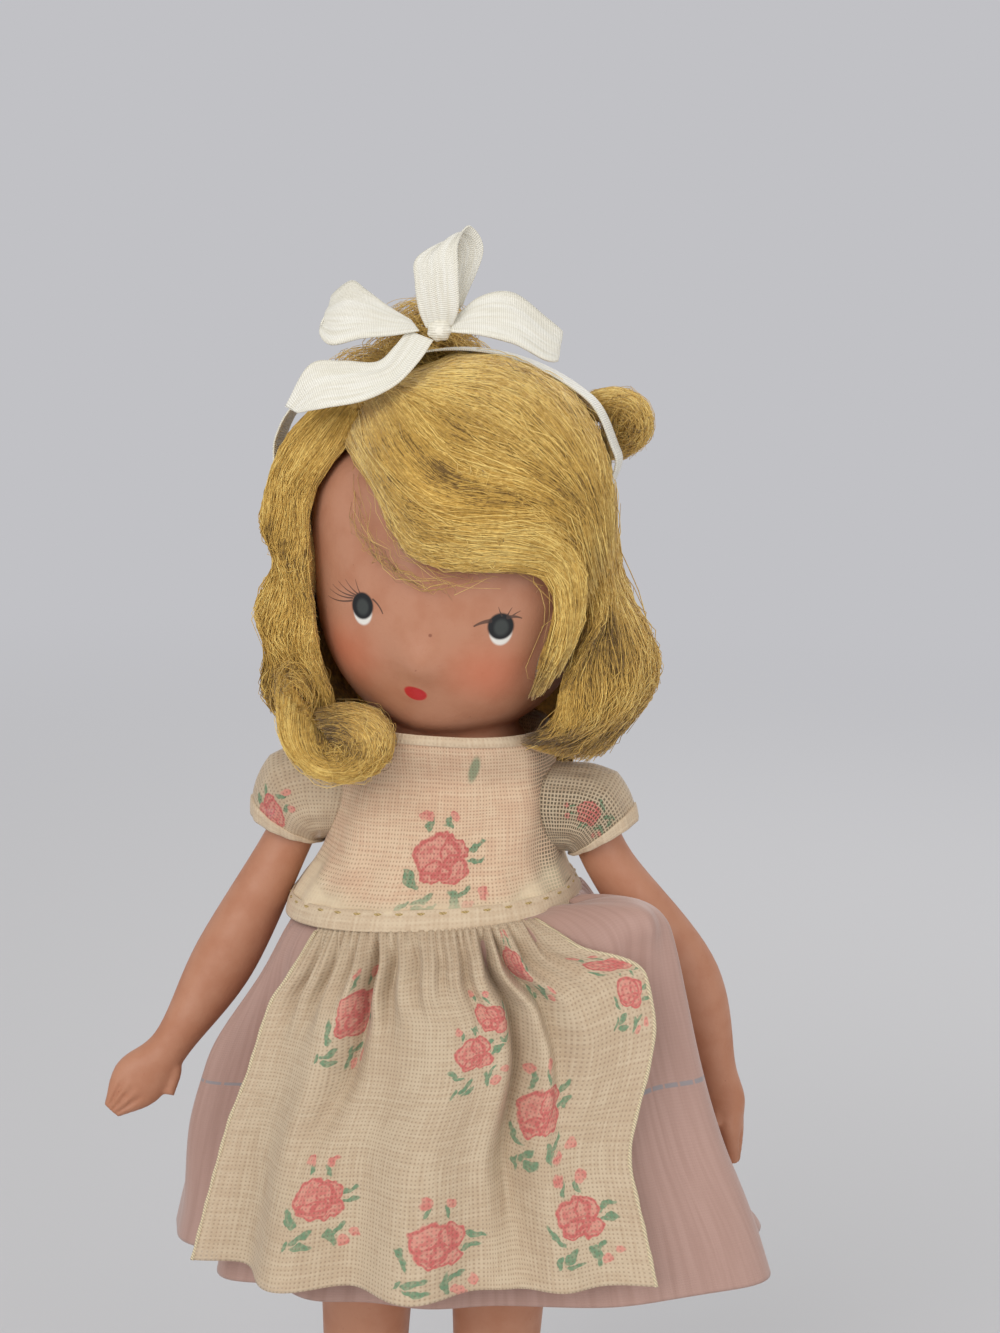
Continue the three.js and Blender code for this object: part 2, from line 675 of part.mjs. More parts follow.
// Puff sleeve: rings turn about the underarm from the armhole, which is round on the arm's axis, to the hem.
function sleeve(name) {
  const side = SIDES[name];
  const rootX = CHEST_WIDTH / 2 + GAP + CLOTH + GAP;
  const pivot = vec(rootX, 0, SHOULDER_Z - SLEEVE_ROOT / 2 - SLEEVE_STAND);
  const skin = (inset) => (u, v) => {
    const angle = 2 * Math.PI * u;
    const swing = SLEEVE_SWING * v;
    const puffed = lerp(SLEEVE_ROOT, SLEEVE_PUFF, Math.min(1, 2 * v));
    const width = lerp(puffed, SLEEVE_HEM, Math.max(0, 2 * v - 1));
    const radius = width / 2 - inset;
    const out = SLEEVE_STAND + width / 2 - radius * Math.cos(angle);
    const x = pivot.x + out * Math.sin(swing);
    return vec(side * x, radius * Math.sin(angle), pivot.z + out * Math.cos(swing));
  };
  return between(skin(0), skin(CLOTH), 20, 5, true);
}

const wrapAngle = (angle) => Math.atan2(Math.sin(angle), Math.cos(angle));

// Point of the gathered skirt, out millimetres outside its inner side; angle from +X, v from waist to hem.
function skirtPoint(angle, v, out) {
  const flare = v ** SKIRT_FLARE_POWER;
  const top = trunkPoint(angle, waistLine(0), 0);
  const ease = bodiceEase(WAIST_Z);
  const hem = oval(HEM_WIDTH / 2, HEM_DEPTH / 2, angle, 2);
  const puff = Math.exp(-((wrapAngle(angle - SIDE_PUFF_ANGLE) / SIDE_PUFF_SPREAD) ** 2));
  const folds = Math.cos(SKIRT_FOLDS * angle) + 0.4 * Math.cos((SKIRT_FOLDS + 4) * angle + 1);
  const swell = SIDE_PUFF * smoothstep(v, 0, 0.22) + SIDE_PUFF_HEM * smoothstep(v, 0.75, 1);
  const spread = ease + out + swell * puff + FOLD_DEPTH * folds * v ** 0.7;
  const x = lerp(top.x, hem.x, flare) + SKIRT_SWAY * v + spread * Math.cos(angle);
  const y = lerp(top.y, hem.y, flare) + spread * Math.sin(angle);
  const highest = waistLine(top.x) - GAP;
  const lift = SIDE_PUFF_LIFT * puff * Math.sin(Math.PI * Math.min(1, 2.6 * v));
  const z = lerp(highest, HEM_Z + HEM_SLANT_RATIO * x, v) + lift;
  const room = swingRoom(x < 0 ? 'right' : 'left', y, z) - CLOTH + out;
  return vec(clamp(x, -room, room), y, z);
}

function skirt() {
  const skin = (out) => (u, v) => skirtPoint(2 * Math.PI * u, v, out);
  return between(skin(CLOTH), skin(0), SKIRT_COLUMNS, CLOTH_ROWS, true);
}

// Apron panel over the front of the skirt, gathered at the waist into folds of its own.
function apron() {
  const skin = (out) => (u, v) => {
    const angle = lerp(APRON_RIGHT_EDGE, APRON_LEFT_EDGE, u);
    const fold = APRON_FOLD_DEPTH * (1 - Math.cos(2 * Math.PI * APRON_FOLDS * u)) * v ** 0.5;
    return skirtPoint(angle, v * APRON_LENGTH_SHARE, CLOTH + 2 * GAP + fold + out);
  };
  return between(skin(CLOTH), skin(0), APRON_COLUMNS, CLOTH_ROWS);
}

// Pantaloons round the hips and both thighs.
function pantaloons() {
  const outGrow = GAP + PANTALOONS_EASE;
  const sides = Object.values(SIDES);
  const hips = trunk(() => outGrow, CROTCH_Z - CROTCH_ROUND, PANTALOONS_TOP_Z);
  const outer = join(hips, ...sides.map((side) => leg(side, outGrow, PANTALOONS_HEM_Z)));
  const inside = join(
    trunk(() => GAP, CROTCH_Z - CROTCH_ROUND, PANTALOONS_TOP_Z + CLOTH),
    ...sides.map((side) => leg(side, GAP, PANTALOONS_HEM_Z - CLOTH)),
  );
  return cut(outer, inside);
}

const pinY = alongStations(TRUNK, PIN_Z, 'd') + bodiceEase(PIN_Z) + CLOTH + GAP + PIN_WIRE / 2;

// Safety pin at the back of the bodice: two arms and a spring loop in one wire.
function pinWire() {
  const half = PIN_LENGTH / 2;
  const low = PIN_Z - PIN_SPACING / 2;
  const high = PIN_Z + PIN_SPACING / 2;
  const route = new THREE.CatmullRomCurve3([
    vec(-half, pinY, low),
    vec(0, pinY, low),
    vec(half - PIN_SPACING / 2, pinY, low),
    vec(half, pinY, PIN_Z),
    vec(half - PIN_SPACING / 2, pinY, high),
    vec(0, pinY, high),
    vec(-half, pinY, high),
  ]);
  const size = () => ({ width: PIN_WIRE / 2, thickness: PIN_WIRE / 2 });
  return sweep(route, size, 22, 6, vec(0, 1, 0));
}

// Sheet-metal cap that takes both ends of the pin.
function pinCap() {
  const tall = PIN_SPACING + 2 * PIN_WIRE;
  const shape = new THREE.Shape();
  shape.absarc(0, 0, tall / 2, Math.PI / 2, 1.5 * Math.PI, false);
  shape.closePath();
  const cap = new THREE.ExtrudeGeometry(shape, { depth: PIN_WIRE, bevelEnabled: false, curveSegments: 10 });
  cap.rotateX(Math.PI / 2);
  cap.translate(-PIN_LENGTH / 2 - GAP, pinY + PIN_WIRE / 2, PIN_Z);
  return plain(cap);
}

// Wig, in the head's own frame

const capIn = 1.5 * GAP;
const scalpOut = capIn + CAP_CLOTH + GAP;
const scalpQuarter = (Math.PI * (HEAD_WIDTH + HEAD_HEIGHT)) / 8;

// Point over the scalp: down runs 0 to 1 from the crown to the widest part of the head, then hangs straight.
function hairPoint(round, down, out, hang = 0) {
  const point = headPoint(round, (Math.PI / 2) * Math.min(1, down), out);
  point.z -= hang;
  return point;
}

// Depth of the hair, thick over the crown and the sides, with soft waves that fade out under the ribbon band.
function hairDepth(round, down) {
  const fade = Math.cos(round) ** 2 * smoothstep(down, 0.1, 0.4);
  const wave = HAIR_WAVE * fade * Math.cos(HAIR_WAVES_DOWN * down + HAIR_WAVES_ROUND * round);
  return scalpOut + lerp(HAIR_CROWN, HAIR_SIDE, smoothstep(down, 0.3, 1)) + wave;
}

// Lock between two angles round the head, from one level of the scalp down to another and then a free hang.
function lock(fromDegrees, toDegrees, start, end, hang, tip, columns, rows) {
  const place = (u, v) => {
    const round = degToRad(lerp(fromDegrees, toDegrees, u));
    const onScalp = (end(round) - start) * scalpQuarter;
    const run = v * (onScalp + hang);
    const down = start + Math.min(run, onScalp) / scalpQuarter;
    return { round, down, hung: Math.max(0, run - onScalp) };
  };
  const outer = (u, v) => {
    const { round, down, hung } = place(u, v);
    const edge = Math.sin(Math.PI * clamp(u, 0.08, 0.92)) ** 0.35;
    const ending = smoothstep(v, 0.55, 1);
    const curl = LOCK_CURL * Math.sin((2 * Math.PI * hung) / LOCK_CURL_PITCH);
    const depth = lerp(hairDepth(round, down) - scalpOut, tip, ending) + curl;
    return hairPoint(round, down, scalpOut + depth * edge, hung);
  };
  const inner = (u, v) => {
    const { round, down, hung } = place(u, v);
    return hairPoint(round, down, scalpOut, hung);
  };
  return between(outer, inner, columns, rows);
}

function wigCap() {
  const edge = (round) => lerp(CAP_EDGE_SHARE, FRONT_HAIRLINE_SHARE - 0.1, Math.max(0, Math.cos(round)));
  const skin = (out) => (u, v) => {
    const round = 2 * Math.PI * u;
    return headPoint(round, (Math.PI / 2) * edge(round) * v, out);
  };
  return between(skin(capIn + CAP_CLOTH), skin(capIn), 26, 7, true);
}

function crownHair() {
  const skin = (outside) => (u, v) => {
    const round = 2 * Math.PI * u;
    const down = (CROWN_SHARE - 0.02) * v;
    return hairPoint(round, down, outside ? hairDepth(round, down) : scalpOut);
  };
  return between(skin(true), skin(false), 24, 3, true);
}

function frontWave() {
  const hairline = (round) => FRONT_HAIRLINE_SHARE + FRONT_HAIRLINE_SWEEP_SHARE * (round / degToRad(FACE_HALF_DEGREES));
  return lock(-FACE_HALF_DEGREES, FACE_HALF_DEGREES, CROWN_SHARE, hairline, 0, FRONT_TIP, 18, 7);
}

const fullDown = () => 1;

function rightSideLock() {
  const from = -180 + NAPE_HALF_DEGREES + SEAM_DEGREES;
  const to = -FACE_HALF_DEGREES - SEAM_DEGREES;
  return lock(from, to, CROWN_SHARE, fullDown, RIGHT_LOCK_HANG, HAIR_TIP, 10, 11);
}

function leftSideWaves() {
  const from = FACE_HALF_DEGREES + SEAM_DEGREES;
  const to = 180 - NAPE_HALF_DEGREES - SEAM_DEGREES;
  return lock(from, to, CROWN_SHARE, fullDown, LEFT_LOCK_HANG, HAIR_TIP, 10, 12);
}

function backHair() {
  return lock(180 - NAPE_HALF_DEGREES, 180 + NAPE_HALF_DEGREES, CROWN_SHARE, fullDown, BACK_HANG, HAIR_TIP, 14, 10);
}

// Rolled curl at the foot of the right side lock, lying across the front of the shoulder.
function rightCurl() {
  const radius = CURL_DIAMETER / 2;
  const level = headRise - RIGHT_LOCK_HANG - 2 * GAP - radius;
  const outerX = GAP - HEAD_WIDTH / 2 - scalpOut;
  const at = (along, back, down) => vec(outerX + along * CURL_LENGTH, back - CURL_FRONT, level - down);
  const path = new THREE.CatmullRomCurve3([at(0, 2, 0), at(0.35, 0.4, 0.5), at(0.75, 0, 1.2), at(1, 0.6, 1.5)]);
  const size = (t) => {
    const end = Math.sqrt(Math.max(0.12, 1 - Math.abs(2 * t - 1) ** 5));
    const twist = 1 + 0.06 * Math.cos(14 * t);
    return { width: radius * end * twist, thickness: radius * end * twist };
  };
  return sweep(path, size, 16, 14, vec(0, 0, 1));
}

// Small roll of hair standing off the back of the head on the left.
function backPuff() {
  const skin = (outside) => (u, v) => {
    const round = degToRad(lerp(PUFF_FROM_DEGREES, PUFF_TO_DEGREES, u));
    const down = lerp(PUFF_TOP_SHARE, PUFF_BOTTOM_SHARE, v);
    const dome = Math.sqrt(Math.max(0.05, Math.sin(Math.PI * u) * Math.sin(Math.PI * v)));
    const base = hairDepth(round, down) + GAP;
    return hairPoint(round, down, outside ? base + PUFF_HEIGHT * dome : base);
  };
  return between(skin(true), skin(false), 10, 8);
}

// Ribbon, in the head's own frame

const bandOut = scalpOut + Math.max(HAIR_CROWN, HAIR_SIDE) + GAP;

function ribbonBand() {
  const skin = (out) => (u, v) => {
    const tilt = lerp(-BAND_REACH, BAND_REACH, u);
    const point = headPoint(Math.PI / 2, Math.abs(tilt), bandOut + out);
    point.x *= Math.sign(tilt) || 1;
    point.y = lerp(-RIBBON_WIDTH / 2, RIBBON_WIDTH / 2, v);
    return point;
  };
  return between(skin(RIBBON_STOCK), skin(0), 30, 2);
}

const bandTop = headRise + HEAD_HEIGHT / 2 + bandOut + RIBBON_STOCK;
const knotLean = 1 - (KNOT_X / (HEAD_WIDTH / 2 + bandOut)) ** 2;
const knotSeat = headRise + (HEAD_HEIGHT / 2 + bandOut) * Math.sqrt(knotLean) + RIBBON_STOCK;
const knotAt = vec(KNOT_X, KNOT_Y, knotSeat + GAP + KNOT_HEIGHT / 2);

function bowKnot() {
  const rings = [];
  const steps = 8;
  for (let r = 0; r <= steps; r += 1) {
    const t = (2 * r) / steps - 1;
    const pinch = Math.sqrt(Math.max(0.15, 1 - t ** 4));
    const ring = [];
    for (let i = 0; i < 14; i += 1) {
      const point = oval((KNOT_WIDTH / 2) * pinch, (KNOT_HEIGHT / 2) * pinch, (2 * Math.PI * i) / 14);
      ring.push(vec(point.x, (t * RIBBON_WIDTH) / 2, point.y).add(knotAt));
    }
    rings.push(ring);
  }
  return loft(rings);
}

// Loop beside the knot: out along the top, round its end and back underneath, clear of the band.
function sideLoop(side, length) {
  const root = KNOT_WIDTH / 2 + GAP;
  const low = bandTop + GAP + RIBBON_STOCK;
  const at = (out, z) => vec(knotAt.x + side * (root + out * length), knotAt.y, z);
  const path = new THREE.CatmullRomCurve3([
    at(0, knotAt.z + KNOT_HEIGHT / 6),
    at(0.3, low + 0.85 * SIDE_LOOP_HEIGHT),
    at(0.68, low + SIDE_LOOP_HEIGHT),
    at(1, low + 0.5 * SIDE_LOOP_HEIGHT),
    at(0.72, low),
    at(0.35, low),
    at(0, knotAt.z - KNOT_HEIGHT / 6),
  ]);
  return ribbon(path, vec(0, 1, 0), 20);
}

// Upright loop that rises from the knot and folds over to the back.
function topLoop() {
  const foot = knotAt.z + KNOT_HEIGHT / 2 + GAP;
  const at = (back, up) => {
    return vec(knotAt.x + 0.1 * KNOT_WIDTH, knotAt.y + back * TOP_LOOP_DEPTH, foot + up * TOP_LOOP_HEIGHT);
  };
  const path = new THREE.CatmullRomCurve3([
    at(-0.18, 0),
    at(-0.37, 0.4),
    at(-0.26, 0.82),
    at(0.16, 1),
    at(0.58, 0.82),
    at(0.63, 0.4),
    at(0.32, 0),
  ]);
  return ribbon(path, vec(1, 0, 0.08), 20);
}

// Tail that runs from under the knot towards the right temple.
function leftTail() {
  const start = knotAt.clone().add(vec(-KNOT_WIDTH / 2 - GAP, -RIBBON_WIDTH - GAP, -0.12 * KNOT_HEIGHT));
  const at = (along, forward, down) => {
    return start.clone().add(vec(-along * TAIL_LENGTH, -forward * TAIL_FORWARD, -down * TAIL_DROP));
  };
  const path = new THREE.CatmullRomCurve3([at(0, 0, 0), at(0.35, 0.67, 0.23), at(0.65, 1, 0.57), at(0.85, 1, 1)]);
  return ribbon(path, vec(0.1, 1, 0), 12);
}

// Assembly

const FINISH = {
  bisque: { color: 0xc98e78, roughness: 0.55 },
  elastic: { color: 0xe6e0d2, roughness: 0.8 },
  lawn: { color: 0xf0ece2, roughness: 0.9 },
  organdy: { color: 0xdccfae, roughness: 0.85 },
  taffeta: { color: 0xcfaeaa, roughness: 0.7 },
  brass: { color: 0xb08d57, roughness: 0.35, metalness: 1 },
  netting: { color: 0xb08c50, roughness: 0.9 },
  mohair: { color: 0xd2a44e, roughness: 0.6 },
  ribbon: { color: 0xece6d6, roughness: 0.5 },
};

function piece(name, finish, geometry) {
  const mesh = new THREE.Mesh(geometry, new THREE.MeshStandardMaterial(FINISH[finish]));
  mesh.name = name;
  return mesh;
}

const headgear = new THREE.Group();
headgear.applyMatrix4(headPlace);
headgear.add(
  piece('wig_cap', 'netting', wigCap()),
  piece('crown_hair', 'mohair', crownHair()),
  piece('front_wave', 'mohair', frontWave()),
  piece('right_side_lock', 'mohair', rightSideLock()),
  piece('right_curl', 'mohair', rightCurl()),
  piece('left_side_waves', 'mohair', leftSideWaves()),
  piece('back_hair', 'mohair', backHair()),
  piece('back_puff', 'mohair', backPuff()),
  piece('ribbon_band', 'ribbon', ribbonBand()),
  piece('bow_knot', 'ribbon', bowKnot()),
  piece('bow_right_loop', 'ribbon', sideLoop(-1, SIDE_LOOP_RIGHT)),
  piece('bow_left_loop', 'ribbon', sideLoop(1, SIDE_LOOP_LEFT)),
  piece('bow_top_loop', 'ribbon', topLoop()),
  piece('bow_tail', 'ribbon', leftTail()),
);

const doll = new THREE.Group();
doll.add(
  piece('body', 'bisque', bodyCasting()),
  piece('right_arm', 'bisque', arm('right')),
  piece('left_arm', 'bisque', arm('left')),
  piece('arm_elastic', 'elastic', armElastic()),
  piece('pantaloons', 'lawn', pantaloons()),
  piece('bodice', 'organdy', bodice()),
  piece('neck_binding', 'organdy', neckBinding()),
  piece('waistband', 'organdy', waistband()),
  piece('right_sleeve', 'organdy', sleeve('right')),
  piece('left_sleeve', 'organdy', sleeve('left')),
  piece('skirt', 'taffeta', skirt()),
  piece('apron', 'organdy', apron()),
  piece('pin_wire', 'brass', pinWire()),
  piece('pin_cap', 'brass', pinCap()),
  headgear,
);

export default doll;
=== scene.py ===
"""Looks of a small bisque doll in a sprigged organdy dress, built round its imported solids."""
import math
from functools import reduce

import bpy
import numpy as np
from mathutils import Matrix


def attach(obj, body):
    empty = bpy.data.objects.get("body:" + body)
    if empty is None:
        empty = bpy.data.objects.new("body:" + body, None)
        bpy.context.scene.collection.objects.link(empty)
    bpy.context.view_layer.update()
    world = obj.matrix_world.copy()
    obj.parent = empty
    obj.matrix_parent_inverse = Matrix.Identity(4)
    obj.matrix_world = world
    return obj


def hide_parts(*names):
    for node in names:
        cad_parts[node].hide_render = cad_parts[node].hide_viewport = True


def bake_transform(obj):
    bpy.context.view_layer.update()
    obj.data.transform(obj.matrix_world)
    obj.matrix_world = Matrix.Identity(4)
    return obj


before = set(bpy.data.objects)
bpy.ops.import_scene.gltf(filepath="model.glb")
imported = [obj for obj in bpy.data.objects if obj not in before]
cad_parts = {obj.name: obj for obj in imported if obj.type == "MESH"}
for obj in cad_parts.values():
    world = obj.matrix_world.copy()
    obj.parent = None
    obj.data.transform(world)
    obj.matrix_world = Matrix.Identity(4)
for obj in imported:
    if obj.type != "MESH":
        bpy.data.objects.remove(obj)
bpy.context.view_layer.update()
rng = np.random.default_rng(11)

# Sizes, in millimetres, as in the solids
MM = 0.001
GAP = 0.3
CLOTH = 0.5
LEG_SPACING = 13.2
TRUNK_WIDTHS = [(47, 8.2), (50, 11.5), (58, 12.8), (73, 11.2), (80, 10.4), (87, 9.6), (94, 5.4), (97, 5.4)]
TRUNK_DEPTHS = [(47, 5.4), (50, 7.9), (58, 9.0), (73, 8.0), (80, 8.1), (87, 6.3), (94, 5.4), (97, 5.4)]
LEG_WIDTHS = [(4.2, 3.0), (8.5, 3.0), (17, 4.3), (27, 4.2), (50, 5.6), (55, 5.2)]
OVAL_POWER = 2.4
CHEST_Z = 80.0
NECK_Z = 94.0
HEEL_BACK = 5.0
TOE_FRONT = 10.4
HEAD_HALF = np.array([13.2, 13.2, 14.8])
HEAD_RISE = 11.7
HEAD_PIVOT = np.array([-0.8, 0.0, 94.0])
HEAD_TILT = 5.5
HEAD_TURN = -3.0
SHOULDER_Z = 84.5
SHOULDER_X = 13.4
SEAT_X = 9.8
SEAT_RADIUS = 3.7
WAIST_Z = 75.0
WAIST_SLANT = 0.12
NECKLINE_Z = 91.9
HEM_Z = 43.0
HEM_SLANT = 0.06
ARMHOLE_RADIUS = 4.0
ARMHOLE_SIDE = 4.0
ARMHOLE_SEAM = 4.2
SCALP_OUT = 1.35
RIBBON_WIDTH = 3.8
SIDES = {"right": -1, "left": 1}
ARM_ROUTE = {
    "right": [
        (0, 0, 0), (2.2, -0.3, 5.4), (7.6, -2.4, 16.8), (11.8, -5.6, 24.6), (14.8, -7.4, 28.3),
        (17, -8.6, 31),
    ],
    "left": [
        (0, 0, 0), (2.4, 0.4, 5.4), (10.1, 2.2, 16.4), (13.5, 3, 26.4), (14.9, 2.7, 31.2),
        (15.5, 2, 35),
    ],
}
THUMB_ROUTE = {
    "right": [(0, 0, 0), (-1.5, -0.3, 0.8), (-1.1, -0.9, 3.4)],
    "left": [(0, 0, 0), (-0.2, -1.0, 0.8), (-0.3, -2.6, 2.6)],
}
ARM_ACROSS = [(0, 2.35), (0.2, 2.35), (0.4, 3.1), (0.6, 1.95), (0.8, 2.65), (1, 0.95)]
ARM_DEEP = [(0, 2.35), (0.2, 2.35), (0.4, 2.85), (0.6, 1.95), (0.8, 1.45), (1, 0.76)]
KNOB_X = 13.1
KNOB_RADIUS = 3.4
THUMB_ROOT = 0.66
THUMB_RADIUS = 0.85
FOOT_HALF = 3.4
SOLE_Z = 0.35
INSTEP_HEIGHT = 7.2
TOE_HEIGHT = 3.4

# Camera of the photograph
CAMERA_AZIMUTH = 8.0
CAMERA_ELEVATION = 11.0
CAMERA_ROLL = 2.0
CAMERA_DISTANCE = 226.0
CAMERA_TARGET = np.array([4.6, 0.0, 97.6])
CAMERA_LENS = 64.8


# Numbers

def lerp(a, b, t):
    return a + (b - a) * t


def smoothstep(x, low, high):
    t = np.clip((x - low) / (high - low), 0, 1)
    return t * t * (3 - 2 * t)


def bell(x, middle, spread):
    return np.exp(-(((x - middle) / spread) ** 2))


def along(stations, place):
    """Smooth value at a place along rows of place and value."""
    at, value = np.array(stations, float).T
    slope = np.empty_like(value)
    slope[1:-1] = (value[2:] - value[:-2]) / (at[2:] - at[:-2])
    slope[0] = (value[1] - value[0]) / (at[1] - at[0])
    slope[-1] = (value[-1] - value[-2]) / (at[-1] - at[-2])
    i = np.clip(np.searchsorted(at, place) - 1, 0, len(at) - 2)
    step = at[i + 1] - at[i]
    t = np.clip((place - at[i]) / step, 0, 1)
    start = (1 + 2 * t) * (1 - t) ** 2 * value[i] + t * (1 - t) ** 2 * step * slope[i]
    end = t * t * (3 - 2 * t) * value[i + 1] - t * t * (1 - t) * step * slope[i + 1]
    return start + end


def path(points, t):
    """Smooth curve through points, at shares t of its way."""
    points = np.array(points, float)
    at = np.linspace(0, 1, len(points))
    axes = [along(np.column_stack([at, points[:, k]]), t) for k in range(points.shape[1])]
    return np.stack(axes, axis=-1)


def turned(axis, degrees):
    return np.array(Matrix.Rotation(math.radians(degrees), 3, axis))


def rings(sides, low, high, steps):
    """Angles round rings, and the place of each ring between two ends."""
    return np.meshgrid(np.linspace(0, 2 * np.pi, sides, endpoint=False), np.linspace(low, high, steps))


def unit(vectors):
    return vectors / np.maximum(np.linalg.norm(vectors, axis=-1, keepdims=True), 1e-9)


def stack(x, y, z):
    return np.stack(np.broadcast_arrays(x, y, z), axis=-1).astype(float)


# Head frame

HEAD_MATRIX = turned("Y", HEAD_TILT) @ turned("Z", HEAD_TURN)
HEAD_CENTRE = np.array([0.4, 0.0, 105.6])


def to_world(points):
    return points @ HEAD_MATRIX.T + HEAD_PIVOT


def head_direction(round_degrees, down_degrees):
    a = np.radians(round_degrees)
    b = np.radians(down_degrees)
    return stack(np.sin(b) * np.sin(a), -np.sin(b) * np.cos(a), np.cos(b))


def on_head(direction, out):
    """Point of the head's oval, out millimetres outside it, in the head's own frame."""
    grown = HEAD_HALF + np.asarray(out, float)[..., None]
    return direction * grown + np.array([0, 0, HEAD_RISE])


# Meshes

def new_object(name, points, quads, triangles=None, corner_uv=None, tone=None):
    """Object from points in millimetres; corner_uv has one pair for each corner of the quads."""
    groups = [np.asarray(quads, np.int32).reshape(-1, 4)]
    if triangles is not None:
        groups.append(np.asarray(triangles, np.int32).reshape(-1, 3))
    corners = np.concatenate([group.ravel() for group in groups])
    sizes = np.concatenate([np.full(len(group), group.shape[1]) for group in groups])
    starts = np.concatenate([[0], np.cumsum(sizes)[:-1]]).astype(np.int32)
    mesh = bpy.data.meshes.new(name)
    mesh.vertices.add(len(points))
    mesh.vertices.foreach_set("co", (np.asarray(points, float) * MM).ravel())
    mesh.loops.add(len(corners))
    mesh.loops.foreach_set("vertex_index", corners)
    mesh.polygons.add(len(sizes))
    mesh.polygons.foreach_set("loop_start", starts)
    mesh.update(calc_edges=True)
    mesh.polygons.foreach_set("use_smooth", np.ones(len(sizes), bool))
    if corner_uv is not None:
        full = np.zeros((len(corners), 2))
        full[:len(corner_uv)] = corner_uv
        mesh.uv_layers.new(name="cloth").data.foreach_set("uv", full.ravel())
    if tone is not None:
        mesh.attributes.new("tone", "FLOAT", "POINT").data.foreach_set("value", np.asarray(tone, float))
    obj = bpy.data.objects.new(name, mesh)
    bpy.context.scene.collection.objects.link(obj)
    return obj


def grid_quads(rows, columns, closed):
    """Quads over rows of points; closed joins each row's end to its start."""
    count = columns if closed else columns + 1
    i, j = np.meshgrid(np.arange(rows), np.arange(columns), indexing="ij")
    k = (j + 1) % count
    quads = [i * count + j, i * count + k, (i + 1) * count + k, (i + 1) * count + j]
    return np.stack(quads, -1).reshape(-1, 4)


def loft(hoops):
    """Closed body through rings of points, with a fan at each end: points, quads and triangles."""
    hoops = np.asarray(hoops, float)
    rows, count = hoops.shape[:2]
    points = np.vstack([hoops.reshape(-1, 3), hoops[0].mean(0), hoops[-1].mean(0)])
    j = np.arange(count)
    k = (j + 1) % count
    first, last = rows * count, rows * count + 1
    low = np.column_stack([np.full(count, first), k, j])
    high = np.column_stack([np.full(count, last), (rows - 1) * count + j, (rows - 1) * count + k])
    return points, grid_quads(rows - 1, count, True), np.vstack([low, high])


def joined(bodies):
    """Several bodies as one set of points, quads and triangles."""
    points, quads, triangles = [], [], []
    base = 0
    for body_points, body_quads, body_triangles in bodies:
        points.append(body_points)
        quads.append(body_quads + base)
        triangles.append(body_triangles + base)
        base += len(body_points)
    return np.vstack(points), np.vstack(quads), np.vstack(triangles)


def frames(middle, guide):
    """Unit directions across and out of paths, laid out as paths by points by 3; no path runs along guide."""
    tangent = unit(np.gradient(middle, axis=1))
    across = unit(np.cross(tangent, np.broadcast_to(guide, tangent.shape)))
    return across, np.cross(tangent, across)


def tubes(middle, radius, sides, guide=(0.0, 0.0, 1.0)):
    """Many tubes at once, each closed by a fan of triangles at both ends."""
    middle = np.asarray(middle, float)
    count, steps = middle.shape[:2]
    across, out = frames(middle, guide)
    angle = 2 * np.pi * np.arange(sides) / sides
    reach = np.broadcast_to(radius, (count, steps))[..., None, None]
    ring = across[:, :, None] * np.cos(angle)[:, None] + out[:, :, None] * np.sin(angle)[:, None]
    points = (middle[:, :, None] + ring * reach).reshape(-1, 3)
    one = grid_quads(steps - 1, sides, True)
    base = (np.arange(count) * steps * sides)[:, None, None]
    quads = (one[None] + base).reshape(-1, 4)
    fan = np.array([[0, k + 1, k] for k in range(1, sides - 1)])
    far = (steps - 1) * sides + fan[:, ::-1]
    triangles = (np.vstack([fan, far])[None] + base).reshape(-1, 3)
    return points, quads, triangles


def arc_shares(grid, axis):
    """Share of the way along one axis of a grid of points, by its mean length."""
    steps = np.linalg.norm(np.diff(grid, axis=axis), axis=-1).mean(1 - axis)
    return np.concatenate([[0], np.cumsum(steps)]) / steps.sum()


# Each neighbour of a cell, and the two corners of the edge between them
CELL_EDGES = [
    ((1, 0), (1, 0), (1, 1)),
    ((-1, 0), (0, 1), (0, 0)),
    ((0, 1), (1, 1), (0, 1)),
    ((0, -1), (0, 0), (1, 0)),
]


def on_faces(corners, faces):
    """Corners of cells, each with the face of the cloth that it lies on."""
    return np.concatenate([corners, np.broadcast_to(faces, corners.shape[:2])[..., None]], -1)


